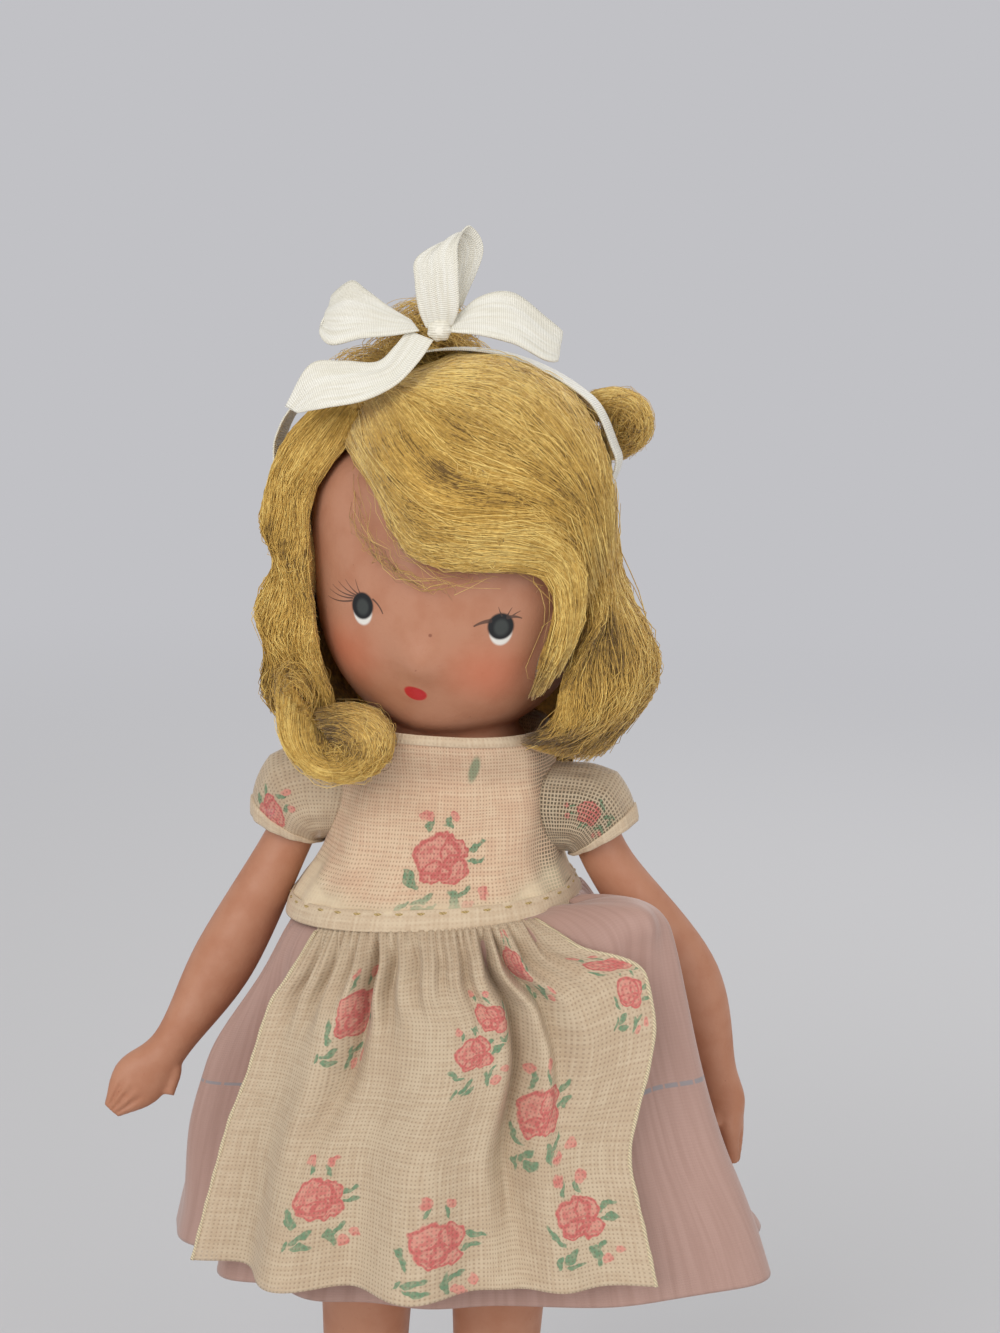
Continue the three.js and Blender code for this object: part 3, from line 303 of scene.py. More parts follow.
def sheet(name, surface, columns, rows, thickness, flat, closed=False, keep=None):
    """Cloth with two faces and a rim; surface takes u across and v down, and flat is its cut size."""
    u, v = np.meshgrid(np.linspace(0, 1, columns + 1), np.linspace(0, 1, rows + 1), indexing="ij")
    middle = surface(u, v)
    across = np.gradient(middle, axis=0)
    if closed:
        across[0] = across[-1] = middle[1] - middle[-2]
    half = unit(np.cross(np.gradient(middle, axis=1), across)) * thickness / 2
    count = columns if closed else columns + 1
    points = np.vstack([(middle + half)[:count].reshape(-1, 3), (middle - half)[:count].reshape(-1, 3)])
    kept = np.ones((columns, rows), bool) if keep is None else keep(middle)
    cells = np.stack(np.meshgrid(np.arange(columns), np.arange(rows), indexing="ij"), -1)
    face = cells[kept][:, None] + np.array([(0, 1), (1, 1), (1, 0), (0, 0)])
    corners = [on_faces(face, [0, 0, 0, 0]), on_faces(face[:, ::-1], [1, 1, 1, 1])]
    padded = np.pad(kept, 1)
    if closed:
        padded[0] = padded[-2]
        padded[-1] = padded[1]
    for (i, j), first, second in CELL_EDGES:
        beside = padded[1 + i:columns + 1 + i, 1 + j:rows + 1 + j]
        rim = cells[kept & ~beside][:, None] + np.array([first, second, second, first])
        corners.append(on_faces(rim, [0, 0, 1, 1]))
    corners = np.concatenate(corners)
    column, row, back = np.moveaxis(corners, -1, 0)
    index = (back * count + column % count) * (rows + 1) + row
    uv = np.stack([arc_shares(middle, axis)[corners[..., axis]] * flat[axis] for axis in (0, 1)], -1)
    return new_object(name, points, index, corner_uv=uv.reshape(-1, 2))


def remeshed(name, bodies, voxel, smoothing):
    """Bodies grown together into one smooth skin."""
    rough = new_object(name + "_rough", *joined(bodies))
    remesh = rough.modifiers.new("skin", "REMESH")
    remesh.mode = "VOXEL"
    remesh.voxel_size = voxel * MM
    smooth = rough.modifiers.new("soften", "SMOOTH")
    smooth.iterations = smoothing
    graph = bpy.context.evaluated_depsgraph_get()
    mesh = bpy.data.meshes.new_from_object(rough.evaluated_get(graph))
    mesh.name = name
    bpy.data.objects.remove(rough)
    mesh.polygons.foreach_set("use_smooth", np.ones(len(mesh.polygons), bool))
    obj = bpy.data.objects.new(name, mesh)
    bpy.context.scene.collection.objects.link(obj)
    return obj


def get_points(obj):
    points = np.empty(len(obj.data.vertices) * 3)
    obj.data.vertices.foreach_get("co", points)
    return points.reshape(-1, 3) / MM


def set_points(obj, points):
    obj.data.vertices.foreach_set("co", (points * MM).ravel())
    obj.data.update()


def dress(obj, material, body="doll", stands_for=()):
    """Give a piece its material, the body that it rides on and the solids that it stands for."""
    obj.data.materials.clear()
    obj.data.materials.append(material)
    if body:
        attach(obj, body)
    if stands_for:
        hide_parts(*stands_for)
    return obj


# Shader nodes

def colour(red, green, blue):
    """Linear colour from display values of 0 to 255."""
    share = np.array([red, green, blue]) / 255
    linear = np.where(share <= 0.04045, share / 12.92, ((share + 0.055) / 1.055) ** 2.4)
    return (*linear.tolist(), 1.0)


class Nodes:
    """Short calls for the nodes of one material or node group."""

    def __init__(self, tree):
        self.tree = tree

    def feed(self, socket, value):
        if isinstance(value, bpy.types.NodeSocket):
            self.tree.links.new(value, socket)
        else:
            socket.default_value = value

    def fill(self, node, values):
        for key, value in values.items():
            self.feed(node.inputs[key], value)

    def add(self, kind, inputs=None, **settings):
        node = self.tree.nodes.new(kind)
        for key, value in settings.items():
            setattr(node, key, value)
        self.fill(node, inputs or {})
        return node

    def math(self, operation, *values, clamp=False):
        inputs = dict(enumerate(values))
        return self.add("ShaderNodeMath", inputs, operation=operation, use_clamp=clamp).outputs[0]

    def times(self, a, b):
        return self.math("MULTIPLY", a, b)

    def minus(self, a, b):
        return self.math("SUBTRACT", a, b)

    def plus(self, *values, clamp=False):
        total = reduce(lambda a, b: self.math("ADD", a, b), values[:-1])
        return self.math("ADD", total, values[-1], clamp=clamp)

    def greatest(self, *values):
        return reduce(lambda a, b: self.math("MAXIMUM", a, b), values)

    def vector(self, operation, *values):
        node = self.add("ShaderNodeVectorMath", dict(enumerate(values)), operation=operation)
        return node.outputs["Value" if operation in ("LENGTH", "DISTANCE") else "Vector"]

    def scaled(self, vector, factor):
        inputs = {0: vector, "Scale": factor}
        return self.add("ShaderNodeVectorMath", inputs, operation="SCALE").outputs["Vector"]

    def fade(self, value, low, high, to_low=0.0, to_high=1.0):
        inputs = {"Value": value, "From Min": low, "From Max": high, "To Min": to_low, "To Max": to_high}
        return self.add("ShaderNodeMapRange", inputs, interpolation_type="SMOOTHSTEP").outputs[0]

    def mix(self, factor, a, b, blend="MIX"):
        node = self.add("ShaderNodeMix", {0: factor, 6: a, 7: b}, data_type="RGBA", blend_type=blend)
        return node.outputs[2]

    def noise(self, vector, scale, detail=2.0, output="Fac"):
        inputs = {"Vector": vector, "Scale": scale, "Detail": detail}
        return self.add("ShaderNodeTexNoise", inputs).outputs[output]

    def wander(self, vector, scale, detail, reach):
        """A vector that drifts either way from place to place."""
        drift = self.vector("SUBTRACT", self.noise(vector, scale, detail, "Color"), (0.5, 0.5, 0.5))
        return self.vector("ADD", vector, self.scaled(drift, reach))

    def waves(self, vector, length):
        """Phases of waves of a length, along each axis."""
        return self.split(self.scaled(vector, 2 * math.pi / length))

    def streaks(self, vector, stretch, detail):
        """Noise drawn out along the cloth."""
        return self.noise(self.vector("MULTIPLY", vector, stretch), 1.0, detail)

    def local(self, vector, place, degrees, size):
        """Coordinates about a place, turned and divided by a size."""
        inputs = {
            "Vector": vector,
            "Location": (place[0], place[1], 0),
            "Rotation": (0, 0, math.radians(degrees)),
            "Scale": (size[0], size[1], 1),
        }
        return self.add("ShaderNodeMapping", inputs, vector_type="TEXTURE").outputs[0]

    def ellipse(self, vector, place, degrees, size, soft=0.12):
        away = self.vector("LENGTH", self.local(vector, place, degrees, size))
        return self.fade(away, 1 + soft, 1 - soft)

    def bump(self, height, distance, strength=1.0):
        inputs = {"Height": height, "Distance": distance * MM, "Strength": strength}
        return self.add("ShaderNodeBump", inputs).outputs[0]

    def split(self, vector):
        return self.add("ShaderNodeSeparateXYZ", {0: vector}).outputs

    def place(self):
        """Object coordinates in millimetres."""
        return self.scaled(self.add("ShaderNodeTexCoord").outputs["Object"], 1 / MM)

    def uv(self, name):
        return self.add("ShaderNodeUVMap", uv_map=name).outputs[0]


def new_material(name):
    material = bpy.data.materials.new(name)
    material.use_nodes = True
    nodes = Nodes(material.node_tree)
    shader = material.node_tree.nodes["Principled BSDF"]
    return material, nodes, shader


def node_group(name, vectors, numbers, masks):
    """Empty group with its vector and number inputs and its mask outputs."""
    tree = bpy.data.node_groups.new(name, "ShaderNodeTree")
    for names, way, kind in (
        (vectors, "INPUT", "NodeSocketVector"),
        (numbers, "INPUT", "NodeSocketFloat"),
        (masks, "OUTPUT", "NodeSocketFloat"),
    ):
        for socket in names:
            tree.interface.new_socket(socket, in_out=way, socket_type=kind)
    return tree, Nodes(tree)


def stroke_group():
    """Group for a tapered brush stroke from 0 to 1 along X, bent sideways, with half-widths at its ends."""
    tree, nodes = node_group("brush_stroke", ["Vector"], ["Start", "End", "Bend"], ["Mask"])
    inputs = nodes.add("NodeGroupInput").outputs
    x, y, _ = nodes.split(inputs["Vector"])
    t = nodes.plus(x, 0.0, clamp=True)
    arch = nodes.times(nodes.times(t, nodes.minus(1.0, t)), 4.0)
    side = nodes.minus(y, nodes.times(arch, inputs["Bend"]))
    past = nodes.minus(x, t)
    away = nodes.math("SQRT", nodes.plus(nodes.times(side, side), nodes.times(past, past)))
    width = nodes.plus(inputs["Start"], nodes.times(t, nodes.minus(inputs["End"], inputs["Start"])))
    ratio = nodes.math("DIVIDE", away, nodes.greatest(width, 0.001))
    nodes.add("NodeGroupOutput", {"Mask": nodes.fade(ratio, 1.25, 0.75)})
    return tree


STROKE = stroke_group()


def painted_strokes(nodes, vector, strokes):
    """Union of brush strokes, each from its two ends, its full width at each and its bend."""
    masks = []
    for start, end, widths, bend in strokes:
        length = math.dist(start, end)
        degrees = math.degrees(math.atan2(end[1] - start[1], end[0] - start[0]))
        inputs = {
            "Vector": nodes.local(vector, start, degrees, (length, length)),
            "Start": widths[0] / 2 / length,
            "End": widths[1] / 2 / length,
            "Bend": bend,
        }
        masks.append(nodes.add("ShaderNodeGroup", inputs, node_tree=STROKE).outputs["Mask"])
    return nodes.greatest(*masks)


# Skin and painted face

FACE_HALF = HEAD_HALF[[0, 2]]
FACE_REACH = 1.75
FACE_DEPTH = 1.3
OFF_FACE = (30.0, 99.0)
FLESH = [colour(185, 131, 103), colour(178, 121, 92)]
FLESH_GRAIN = colour(172, 108, 82)
BLUSH = colour(206, 112, 80)
EYE_WHITE = colour(226, 222, 214)
EYE_RIM = colour(26, 27, 29)
EYE_MIDDLE = colour(60, 64, 62)
LASH = colour(66, 50, 44)
LIP = colour(188, 44, 48)
NOSTRIL = colour(120, 66, 50)
SPECK = colour(140, 84, 66)
SLIPPER = colour(34, 31, 31)
SLIPPER_TOP = 4.3
RIGHT_EYE = (-6.2, -1.65)
LEFT_EYE = (6.95, -1.5)
MOUTH = (-0.43, -9.3)
CHEEKS = [(-8.6, -6.4), (6.6, -6.2)]
RIGHT_LASHES = [
    ((-7.5, -1.45), (-11.2, -1.8), (0.18, 0.05), 0.06),
    ((-7.45, -1.2), (-10.8, -1.1), (0.16, 0.04), 0.06),
    ((-7.3, -1.0), (-10.4, -0.6), (0.16, 0.04), 0.06),
    ((-7.1, -0.85), (-9.6, -0.1), (0.15, 0.04), 0.05),
    ((-6.85, -0.7), (-8.6, 0.25), (0.14, 0.04), 0.05),
    ((-6.6, -0.6), (-7.35, 0.5), (0.13, 0.04), 0.03),
    ((-5.1, -0.85), (-3.95, -1.9), (0.18, 0.12), 0.08),
]
LEFT_LASHES = [
    ((5.9, -1.1), (4.55, -1.7), (0.4, 0.16), -0.06),
    ((7.5, -0.65), (8.8, -0.65), (0.36, 0.1), 0.08),
    ((6.9, -0.55), (6.5, 0.2), (0.16, 0.04), 0.03),
    ((7.4, -0.55), (7.75, 0.25), (0.16, 0.04), 0.03),
    ((7.75, -0.6), (8.6, 0.0), (0.18, 0.04), 0.04),
]


def add_eye(nodes, vector, base, centre, tilt):
    """White below, and a dark iris with a slate middle."""
    x, y = centre
    for tint, place, size, soft in (
        (EYE_WHITE, (x + 0.08, y - 0.5), (1.05, 1.2), 0.12),
        (EYE_RIM, (x, y), (1.22, 1.2), 0.1),
        (EYE_MIDDLE, (x + 0.05, y - 0.1), (0.66, 0.72), 0.3),
    ):
        base = nodes.mix(nodes.ellipse(vector, place, tilt, size, soft), base, tint)
    return base


def skin_material():
    """Painted bisque: warm flesh tint, uneven and slightly rubbed, with the face and slippers painted on."""
    material, nodes, shader = new_material("painted_bisque")
    place = nodes.place()
    mottle = nodes.noise(place, 0.35, 4.0)
    grain = nodes.noise(place, 3.5, 3.0)
    base = nodes.mix(nodes.fade(mottle, 0.35, 0.7), *FLESH)
    base = nodes.mix(nodes.fade(grain, 0.62, 0.78, 0.0, 0.35), base, FLESH_GRAIN)
    face = nodes.uv("face")
    for cheek in CHEEKS:
        away = nodes.vector("LENGTH", nodes.local(face, cheek, 0, (6.2, 4.6)))
        base = nodes.mix(nodes.fade(away, 1.0, 0.0, 0.0, 0.5), base, BLUSH)
    base = add_eye(nodes, face, base, RIGHT_EYE, 14)
    base = add_eye(nodes, face, base, LEFT_EYE, 6)
    lashes = painted_strokes(nodes, face, RIGHT_LASHES + LEFT_LASHES)
    base = nodes.mix(nodes.times(lashes, 0.8), base, LASH)
    lips = nodes.ellipse(face, MOUTH, -8, (1.28, 0.82), 0.12)
    base = nodes.mix(lips, base, LIP)
    nose = nodes.ellipse(face, (0.76, -3.06), 0, (0.16, 0.14), 0.4)
    base = nodes.mix(nodes.times(nose, 0.7), base, NOSTRIL)
    base = nodes.mix(nodes.fade(nodes.noise(place, 1.9, 1.0), 0.78, 0.84, 0.0, 0.5), base, SPECK)
    height = nodes.plus(nodes.split(place)[2], nodes.times(grain, 0.3))
    slipper = nodes.fade(height, SLIPPER_TOP + 0.1, SLIPPER_TOP - 0.1)
    painted = nodes.greatest(lips, lashes, slipper)
    nodes.fill(shader, {
        "Base Color": nodes.mix(slipper, base, SLIPPER),
        "Roughness": nodes.minus(nodes.fade(mottle, 0.3, 0.75, 0.42, 0.56), nodes.times(painted, 0.14)),
        "Specular IOR Level": 0.35,
        "Normal": nodes.bump(nodes.noise(place, 2.2, 5.0), 0.06, 0.5),
    })
    return material


# Swellings of the head: degrees round and down, height and spread
SWELLINGS = [
    (0, 113, 1.0, 8), (0, 146, 0.5, 15), (-33, 119, 0.6, 20), (33, 119, 0.6, 20), (-2, 127.5, 0.22, 5),
    (-70, 58, 2.6, 26), (70, 58, 2.6, 26),
]


def head_body():
    """Head oval with nose, chin, cheeks and lips, as a closed body."""
    round_degrees, down_degrees = np.meshgrid(np.arange(0, 360, 3.0), np.linspace(1.5, 178.5, 80))
    direction = head_direction(round_degrees, down_degrees)
    out = np.zeros(round_degrees.shape)
    for around, down, height, spread in SWELLINGS:
        peak = head_direction(around, down)
        away = np.degrees(np.arccos(np.clip(direction @ peak, -1, 1)))
        out = out + height * bell(away, 0, spread)
    points = direction * HEAD_HALF + direction * out[..., None] + np.array([0, 0, HEAD_RISE])
    return loft(to_world(points))


def oval(half_width, half_depth, angle, power=OVAL_POWER):
    x = np.sign(np.cos(angle)) * np.abs(np.cos(angle)) ** (2 / power)
    y = np.sign(np.sin(angle)) * np.abs(np.sin(angle)) ** (2 / power)
    return half_width * x, half_depth * y


def trunk_oval(angle, z, out):
    """Place across and along the trunk's oval at a height, some way outside it."""
    return oval(along(TRUNK_WIDTHS, z) + out, along(TRUNK_DEPTHS, z) + out, angle)


def trunk_point(angle, z, grow=0.0):
    x, y = trunk_oval(angle, z, grow)
    return stack(x, y, z + grow * smoothstep(z, CHEST_Z, NECK_Z))


def trunk_body(grow, high=TRUNK_WIDTHS[-1][0]):
    angle, z = rings(72, TRUNK_WIDTHS[0][0], high, 40)
    return loft(trunk_point(angle, z, grow))


def leg_body(side, grow, low=LEG_WIDTHS[0][0]):
    angle, z = rings(40, low, LEG_WIDTHS[-1][0], 40)
    x, y = oval(along(LEG_WIDTHS, z) + grow, along(LEG_WIDTHS, z) + grow, angle, 2)
    return loft(stack(x + side * LEG_SPACING / 2, y, z))


def foot_body(side):
    angle, t = np.meshgrid(np.linspace(0, np.pi, 28), np.linspace(0, 1, 24))
    roundness = np.sqrt(np.maximum(0.16, 1 - (2 * t - 1) ** 4))
    height = lerp(INSTEP_HEIGHT, TOE_HEIGHT, smoothstep(t, 0.35, 1)) * lerp(0.75, 1, roundness)
    x = side * LEG_SPACING / 2 + FOOT_HALF * roundness * np.cos(angle)
    return loft(stack(x, lerp(HEEL_BACK, -TOE_FRONT, t), height * np.sin(angle) ** 0.7))


def mark_face(obj):
    """Store the unrolled face, in millimetres across and up, for the paint."""
    local = (get_points(obj) - HEAD_PIVOT) @ HEAD_MATRIX - np.array([0, 0, HEAD_RISE])
    direction = unit(local / HEAD_HALF)
    around = np.arctan2(direction[:, 0], -direction[:, 1])
    up = np.pi / 2 - np.arccos(np.clip(direction[:, 2], -1, 1))
    uv = np.column_stack([around, up]) * FACE_HALF
    off = (np.abs(around) > FACE_REACH) | (np.linalg.norm(local / HEAD_HALF, axis=1) > FACE_DEPTH)
    uv[off] = np.column_stack([OFF_FACE[0] * np.sign(around[off]), np.full(off.sum(), OFF_FACE[1])])
    corners = np.empty(len(obj.data.loops), np.int32)
    obj.data.loops.foreach_get("vertex_index", corners)
    obj.data.uv_layers.new(name="face").data.foreach_set("uv", uv[corners].ravel())


def make_body(material):
    """Head, trunk, legs and feet as one casting, with a flat seat for each arm and flat soles."""
    bodies = [head_body(), trunk_body(0)]
    for side in SIDES.values():
        bodies += [leg_body(side, 0), foot_body(side)]
    obj = remeshed("bisque_body", bodies, 0.4, 6)
    points = get_points(obj)
    seat = np.hypot(points[:, 1], points[:, 2] - SHOULDER_Z) < SEAT_RADIUS
    points[:, 0] = np.where(seat, np.clip(points[:, 0], -SEAT_X, SEAT_X), points[:, 0])
    points[:, 2] = np.where(points[:, 2] < SOLE_Z, 0.0, points[:, 2])
    set_points(obj, points)
    mark_face(obj)
    return dress(obj, material, stands_for=["body"])


def limb_rings(centre, width, depth, guide, sides=28):
    """Rings round a path; guide is the direction that depth is measured in."""
    tangent = unit(np.gradient(centre, axis=0))
    across = unit(np.cross(tangent, guide))
    deep = np.cross(across, tangent)
    angle = np.linspace(0, 2 * np.pi, sides, endpoint=False)
    ring = across[:, None] * (width[:, None] * np.cos(angle))[..., None]
    return centre[:, None] + ring + deep[:, None] * (depth[:, None] * np.sin(angle))[..., None]


def side_path(name, start, route, t):
    points = np.array(route, float) * [SIDES[name], 1, -1] + start
    return path(points, t)


def arm_start(name):
    return np.array([SIDES[name] * SHOULDER_X, 0, SHOULDER_Z])


def make_arm(name, material):
    """Arm with a round shoulder, full forearm and a mitten hand with shallow finger grooves."""
    t = np.linspace(0, 1, 60)
    centre = side_path(name, arm_start(name), ARM_ROUTE[name], t)
    across, deep = along(ARM_ACROSS, t), along(ARM_DEEP, t)
    turn = np.zeros_like(t) if name == "right" else smoothstep(t, 0.6, 0.8)
    width, depth = lerp(across, deep, turn), lerp(deep, across, turn)
    guide = np.broadcast_to([0.0, 1.0, 0.0], centre.shape)
    bodies = [loft(limb_rings(centre, width, depth, guide))]
    thumb_t = np.linspace(0, 1, 12)
    root = side_path(name, arm_start(name), ARM_ROUTE[name], np.array([THUMB_ROOT]))[0]
    thumb = side_path(name, root, THUMB_ROUTE[name], thumb_t)
    thumb_size = THUMB_RADIUS * lerp(1, 0.6, thumb_t)
    thumb_guide = [0.0, 1.0, 0.0] if name == "right" else [1.0, 0.0, 0.0]
    bodies.append(loft(limb_rings(thumb, thumb_size, thumb_size, np.broadcast_to(thumb_guide, thumb.shape))))
    angle, down = rings(32, 0.03, np.pi - 0.03, 20)
    knob = stack(np.cos(down), np.sin(down) * np.cos(angle), np.sin(down) * np.sin(angle)) * KNOB_RADIUS
    bodies.append(loft(knob + np.array([SIDES[name] * KNOB_X, 0, SHOULDER_Z])))
    obj = remeshed(name + "_arm_cast", bodies, 0.22, 5)
    points = get_points(obj)
    inner = SIDES[name] * points[:, 0] < SEAT_X + GAP
    points[inner, 0] = SIDES[name] * (SEAT_X + GAP)
    set_points(obj, finger_grooves(points, centre, across, turn))
    return dress(obj, material, name + "_arm", [name + "_arm"])


def finger_grooves(points, centre, across, turn):
    """Press three shallow grooves into the end of a hand."""
    tangent = unit(np.gradient(centre, axis=0))
    guide = np.where(turn[:, None] > 0.5, [[1.0, 0.0, 0.0]], [[0.0, 1.0, 0.0]])
    wide = unit(np.cross(tangent, guide))
    flat = np.cross(wide, tangent)
    nearest = np.argmin(((points[:, None] - centre[None]) ** 2).sum(-1), axis=1)
    offset = points - centre[nearest]
    sideways = (offset * wide[nearest]).sum(-1) / across[nearest]
    outwards = (offset * flat[nearest]).sum(-1)
    share = nearest / (len(centre) - 1)
    groove = sum(bell(sideways, place, 0.11) for place in (-0.42, 0.02, 0.46))
    depth = 0.34 * groove * smoothstep(share, 0.8, 0.9)
    return points - flat[nearest] * (depth * np.clip(outwards / 0.8, -1, 1))[:, None]


# Cloth materials

# Light thread, dark thread and what shows in the gaps
CREAM_THREADS = [colour(213, 193, 165), colour(201, 178, 150), colour(177, 145, 121)]
FLESH_THREADS = [colour(232, 205, 174), colour(222, 188, 158), colour(182, 128, 102)]
LINING = colour(226, 212, 180)
# Dark colour put into the gaps of a strip: painted shade of the hollow behind the sheer cloth.
PAINTED_SHADE_IN_GAPS = colour(92, 88, 68)
ROSE = colour(222, 148, 134)
ROSE_DARK = colour(200, 92, 92)
LEAF = colour(112, 148, 116)

# Distance between threads or ribs
ORGANDY_PITCH = 0.36
TAFFETA_PITCH = 0.22
LAWN_PITCH = 0.28
NET_PITCH = 0.8
RIB_PITCH = 0.22
TWIST_PITCH = 0.35
BRAID_PITCH = 0.5
DASH_PITCH = 1.9

# Leaves, buds and petals of a sprig: place, then turn, length and width, or size, or width and height
LEAVES = [
    (2.7, 0.9, 20, 0.9, 0.28), (2.8, -0.2, 15, 0.8, 0.26), (-2.6, -1.4, -50, 0.8, 0.3),
    (-2.2, -2.1, -30, 0.7, 0.26), (-1.2, -3.4, 35, 1.0, 0.36), (-0.9, -4.2, 10, 0.9, 0.3),
    (1.2, -3.6, 105, 1.0, 0.34), (1.8, -2.9, 40, 0.8, 0.26), (-1.2, 2.9, 75, 0.7, 0.24),
    (0.4, 2.9, 110, 0.7, 0.24), (-2.4, -4.0, 70, 0.6, 0.24),
]
BUDS = [(-1.5, 3.7, 0.55), (0.7, 3.7, 0.5), (2.2, -4.1, 0.5), (3.4, -3.2, 0.5)]
PETALS = [(-0.5, 0.3, 1.9, 1.75), (0.9, 0.7, 1.2, 1.2), (0.9, -0.9, 1.35, 1.1), (-0.5, -1.0, 1.3, 0.9)]


def sprig_group():
    """Group for one printed rose with buds and leaves, about three millimetres in radius."""
    tree, nodes = node_group("rose_sprig", ["Vector", "Cloth"], [], ["Rose", "Dark", "Leaf"])
    vector, cloth = nodes.add("NodeGroupInput").outputs[:2]
    drift = nodes.vector("SUBTRACT", nodes.noise(cloth, 0.8, 1.0, "Color"), (0.5, 0.5, 0.5))
    drawn = nodes.vector("ADD", vector, nodes.scaled(drift, 1.3))
    red, ridges = [], []
    for x, y, wide, tall in PETALS:
        away = nodes.vector("LENGTH", nodes.local(drawn, (x, y), 0, (wide, tall)))
        red.append(nodes.fade(away, 1.06, 0.94))
        ridges.append(nodes.times(nodes.fade(away, 0.74, 0.86), nodes.fade(away, 1.1, 1.0)))
    red += [nodes.ellipse(drawn, (x, y), 0, (size, size), 0.15) for x, y, size in BUDS]
    away = nodes.vector("LENGTH", nodes.local(drawn, (-0.4, 0.3), 0, (1, 0.9)))
    swirl = nodes.plus(nodes.times(away, 3.6), nodes.times(nodes.noise(cloth, 0.6), 10.0))
    dark = nodes.times(nodes.fade(nodes.math("SINE", swirl), 0.55, 0.95), 0.5)
    green = [nodes.ellipse(drawn, (x, y), turn, size, 0.14) for x, y, turn, *size in LEAVES]
    nodes.add("NodeGroupOutput", {
        "Rose": nodes.greatest(*red),
        "Dark": nodes.greatest(dark, nodes.times(nodes.greatest(*ridges), 0.8)),
        "Leaf": nodes.greatest(*green),
    })
    return tree


SPRIG = sprig_group()


def printed(nodes, cloth, base, spots):
    """Sprigs printed on a colour; each spot has a place across and down, a turn, a width and a height."""
    nearest, best = None, None
    for x, y, degrees, wide, tall in spots:
        here = nodes.local(cloth, (x, y), degrees, (wide, -tall))
        away = nodes.vector("LENGTH", here)
        if nearest is None:
            nearest, best = here, away
            continue
        closer = nodes.math("LESS_THAN", away, best)
        nearest = nodes.add("ShaderNodeMix", {0: closer, 4: nearest, 5: here}, data_type="VECTOR").outputs[1]
        best = nodes.math("MINIMUM", best, away)
    group = nodes.add("ShaderNodeGroup", {"Vector": nearest, "Cloth": cloth}, node_tree=SPRIG)
    rose, dark, leaf = group.outputs
    rubbed = nodes.fade(nodes.noise(cloth, 2.2, 3.0), 0.3, 0.6, 0.6, 0.95)
    for mask, tint in ((leaf, LEAF), (rose, ROSE), (nodes.times(dark, rose), ROSE_DARK)):
        base = nodes.mix(nodes.times(mask, rubbed), base, tint)
    return base


def weave(nodes, cloth, pitch):
    """Uneven plain weave: height of the threads across and of those along, from cloth coordinates."""
    x, y, _ = nodes.waves(nodes.wander(cloth, 0.9, 2.0, 0.5 * pitch), pitch)
    return nodes.math("COSINE", y), nodes.math("COSINE", nodes.times(x, 0.88))


def organdy_material(name, spots, openness, lined_from=None, threads=CREAM_THREADS, shaded_strip=None, leaf=None):
    """Sheer organdy: its loose weave shows some of what lies under it, and less where it is lined.

    The strip of painted shade in the gaps is given by its middle and reach, and leaf is the place of one
    faint leaf.
    """
    material, nodes, shader = new_material(name)
    cloth = nodes.uv("cloth")
    across, down, _ = nodes.split(cloth)
    weft, warp = weave(nodes, cloth, ORGANDY_PITCH)
    height = nodes.greatest(weft, nodes.times(warp, 0.9))
    patch = nodes.noise(cloth, 0.12, 2.0)
    slub = nodes.plus(*[nodes.streaks(cloth, way, 1.0) for way in ((0.25, 2.5, 1), (2.9, 0.25, 1))], patch)
    base = nodes.mix(nodes.fade(slub, 1.2, 1.8), *threads[:2])
    if spots:
        base = printed(nodes, cloth, base, spots)
    if leaf is not None:
        base = nodes.mix(nodes.times(nodes.ellipse(cloth, leaf, 115, (1.4, 0.6), 0.3), 0.7), base, LEAF)
    base = nodes.mix(nodes.times(nodes.fade(height, 0.2, -0.8), 0.24), base, threads[2])
    # Strip whose gaps are darkened: painted shade of the hollow seen through the sheer cloth.
    if shaded_strip is not None:
        middle, reach = shaded_strip
        away = nodes.math("ABSOLUTE", nodes.minus(across, middle))
        strength = nodes.fade(away, reach, 0.3 * reach, 0.0, 0.8)
        base = nodes.mix(nodes.times(nodes.fade(height, 0.85, 0.1), strength), base, PAINTED_SHADE_IN_GAPS)
    cover = nodes.fade(height, -0.8, 0.2, 1 - 0.65 * openness, 1 - 0.3 * openness)
    if lined_from is not None:
        aside = nodes.math("ABSOLUTE", nodes.minus(across, 0.5 * BODICE_FLAT[0]))
        rise = nodes.fade(aside, 7.0, 17.0, 0.0, 3.2)
        edge = nodes.plus(down, rise, nodes.fade(patch, 0.3, 0.7, -0.8, 0.8))
        lined = nodes.fade(edge, lined_from - 1.0, lined_from + 1.0)
        cover = nodes.greatest(cover, nodes.times(lined, 0.9))
        base = nodes.mix(nodes.times(lined, 0.6), base, LINING)
    nodes.fill(shader, {
        "Base Color": base,
        "Alpha": cover,
        "Roughness": 0.85,
        "Specular IOR Level": 0.2,
        "Sheen Weight": 0.15,
        "Normal": nodes.bump(height, 0.03, 0.6),
    })
    return material


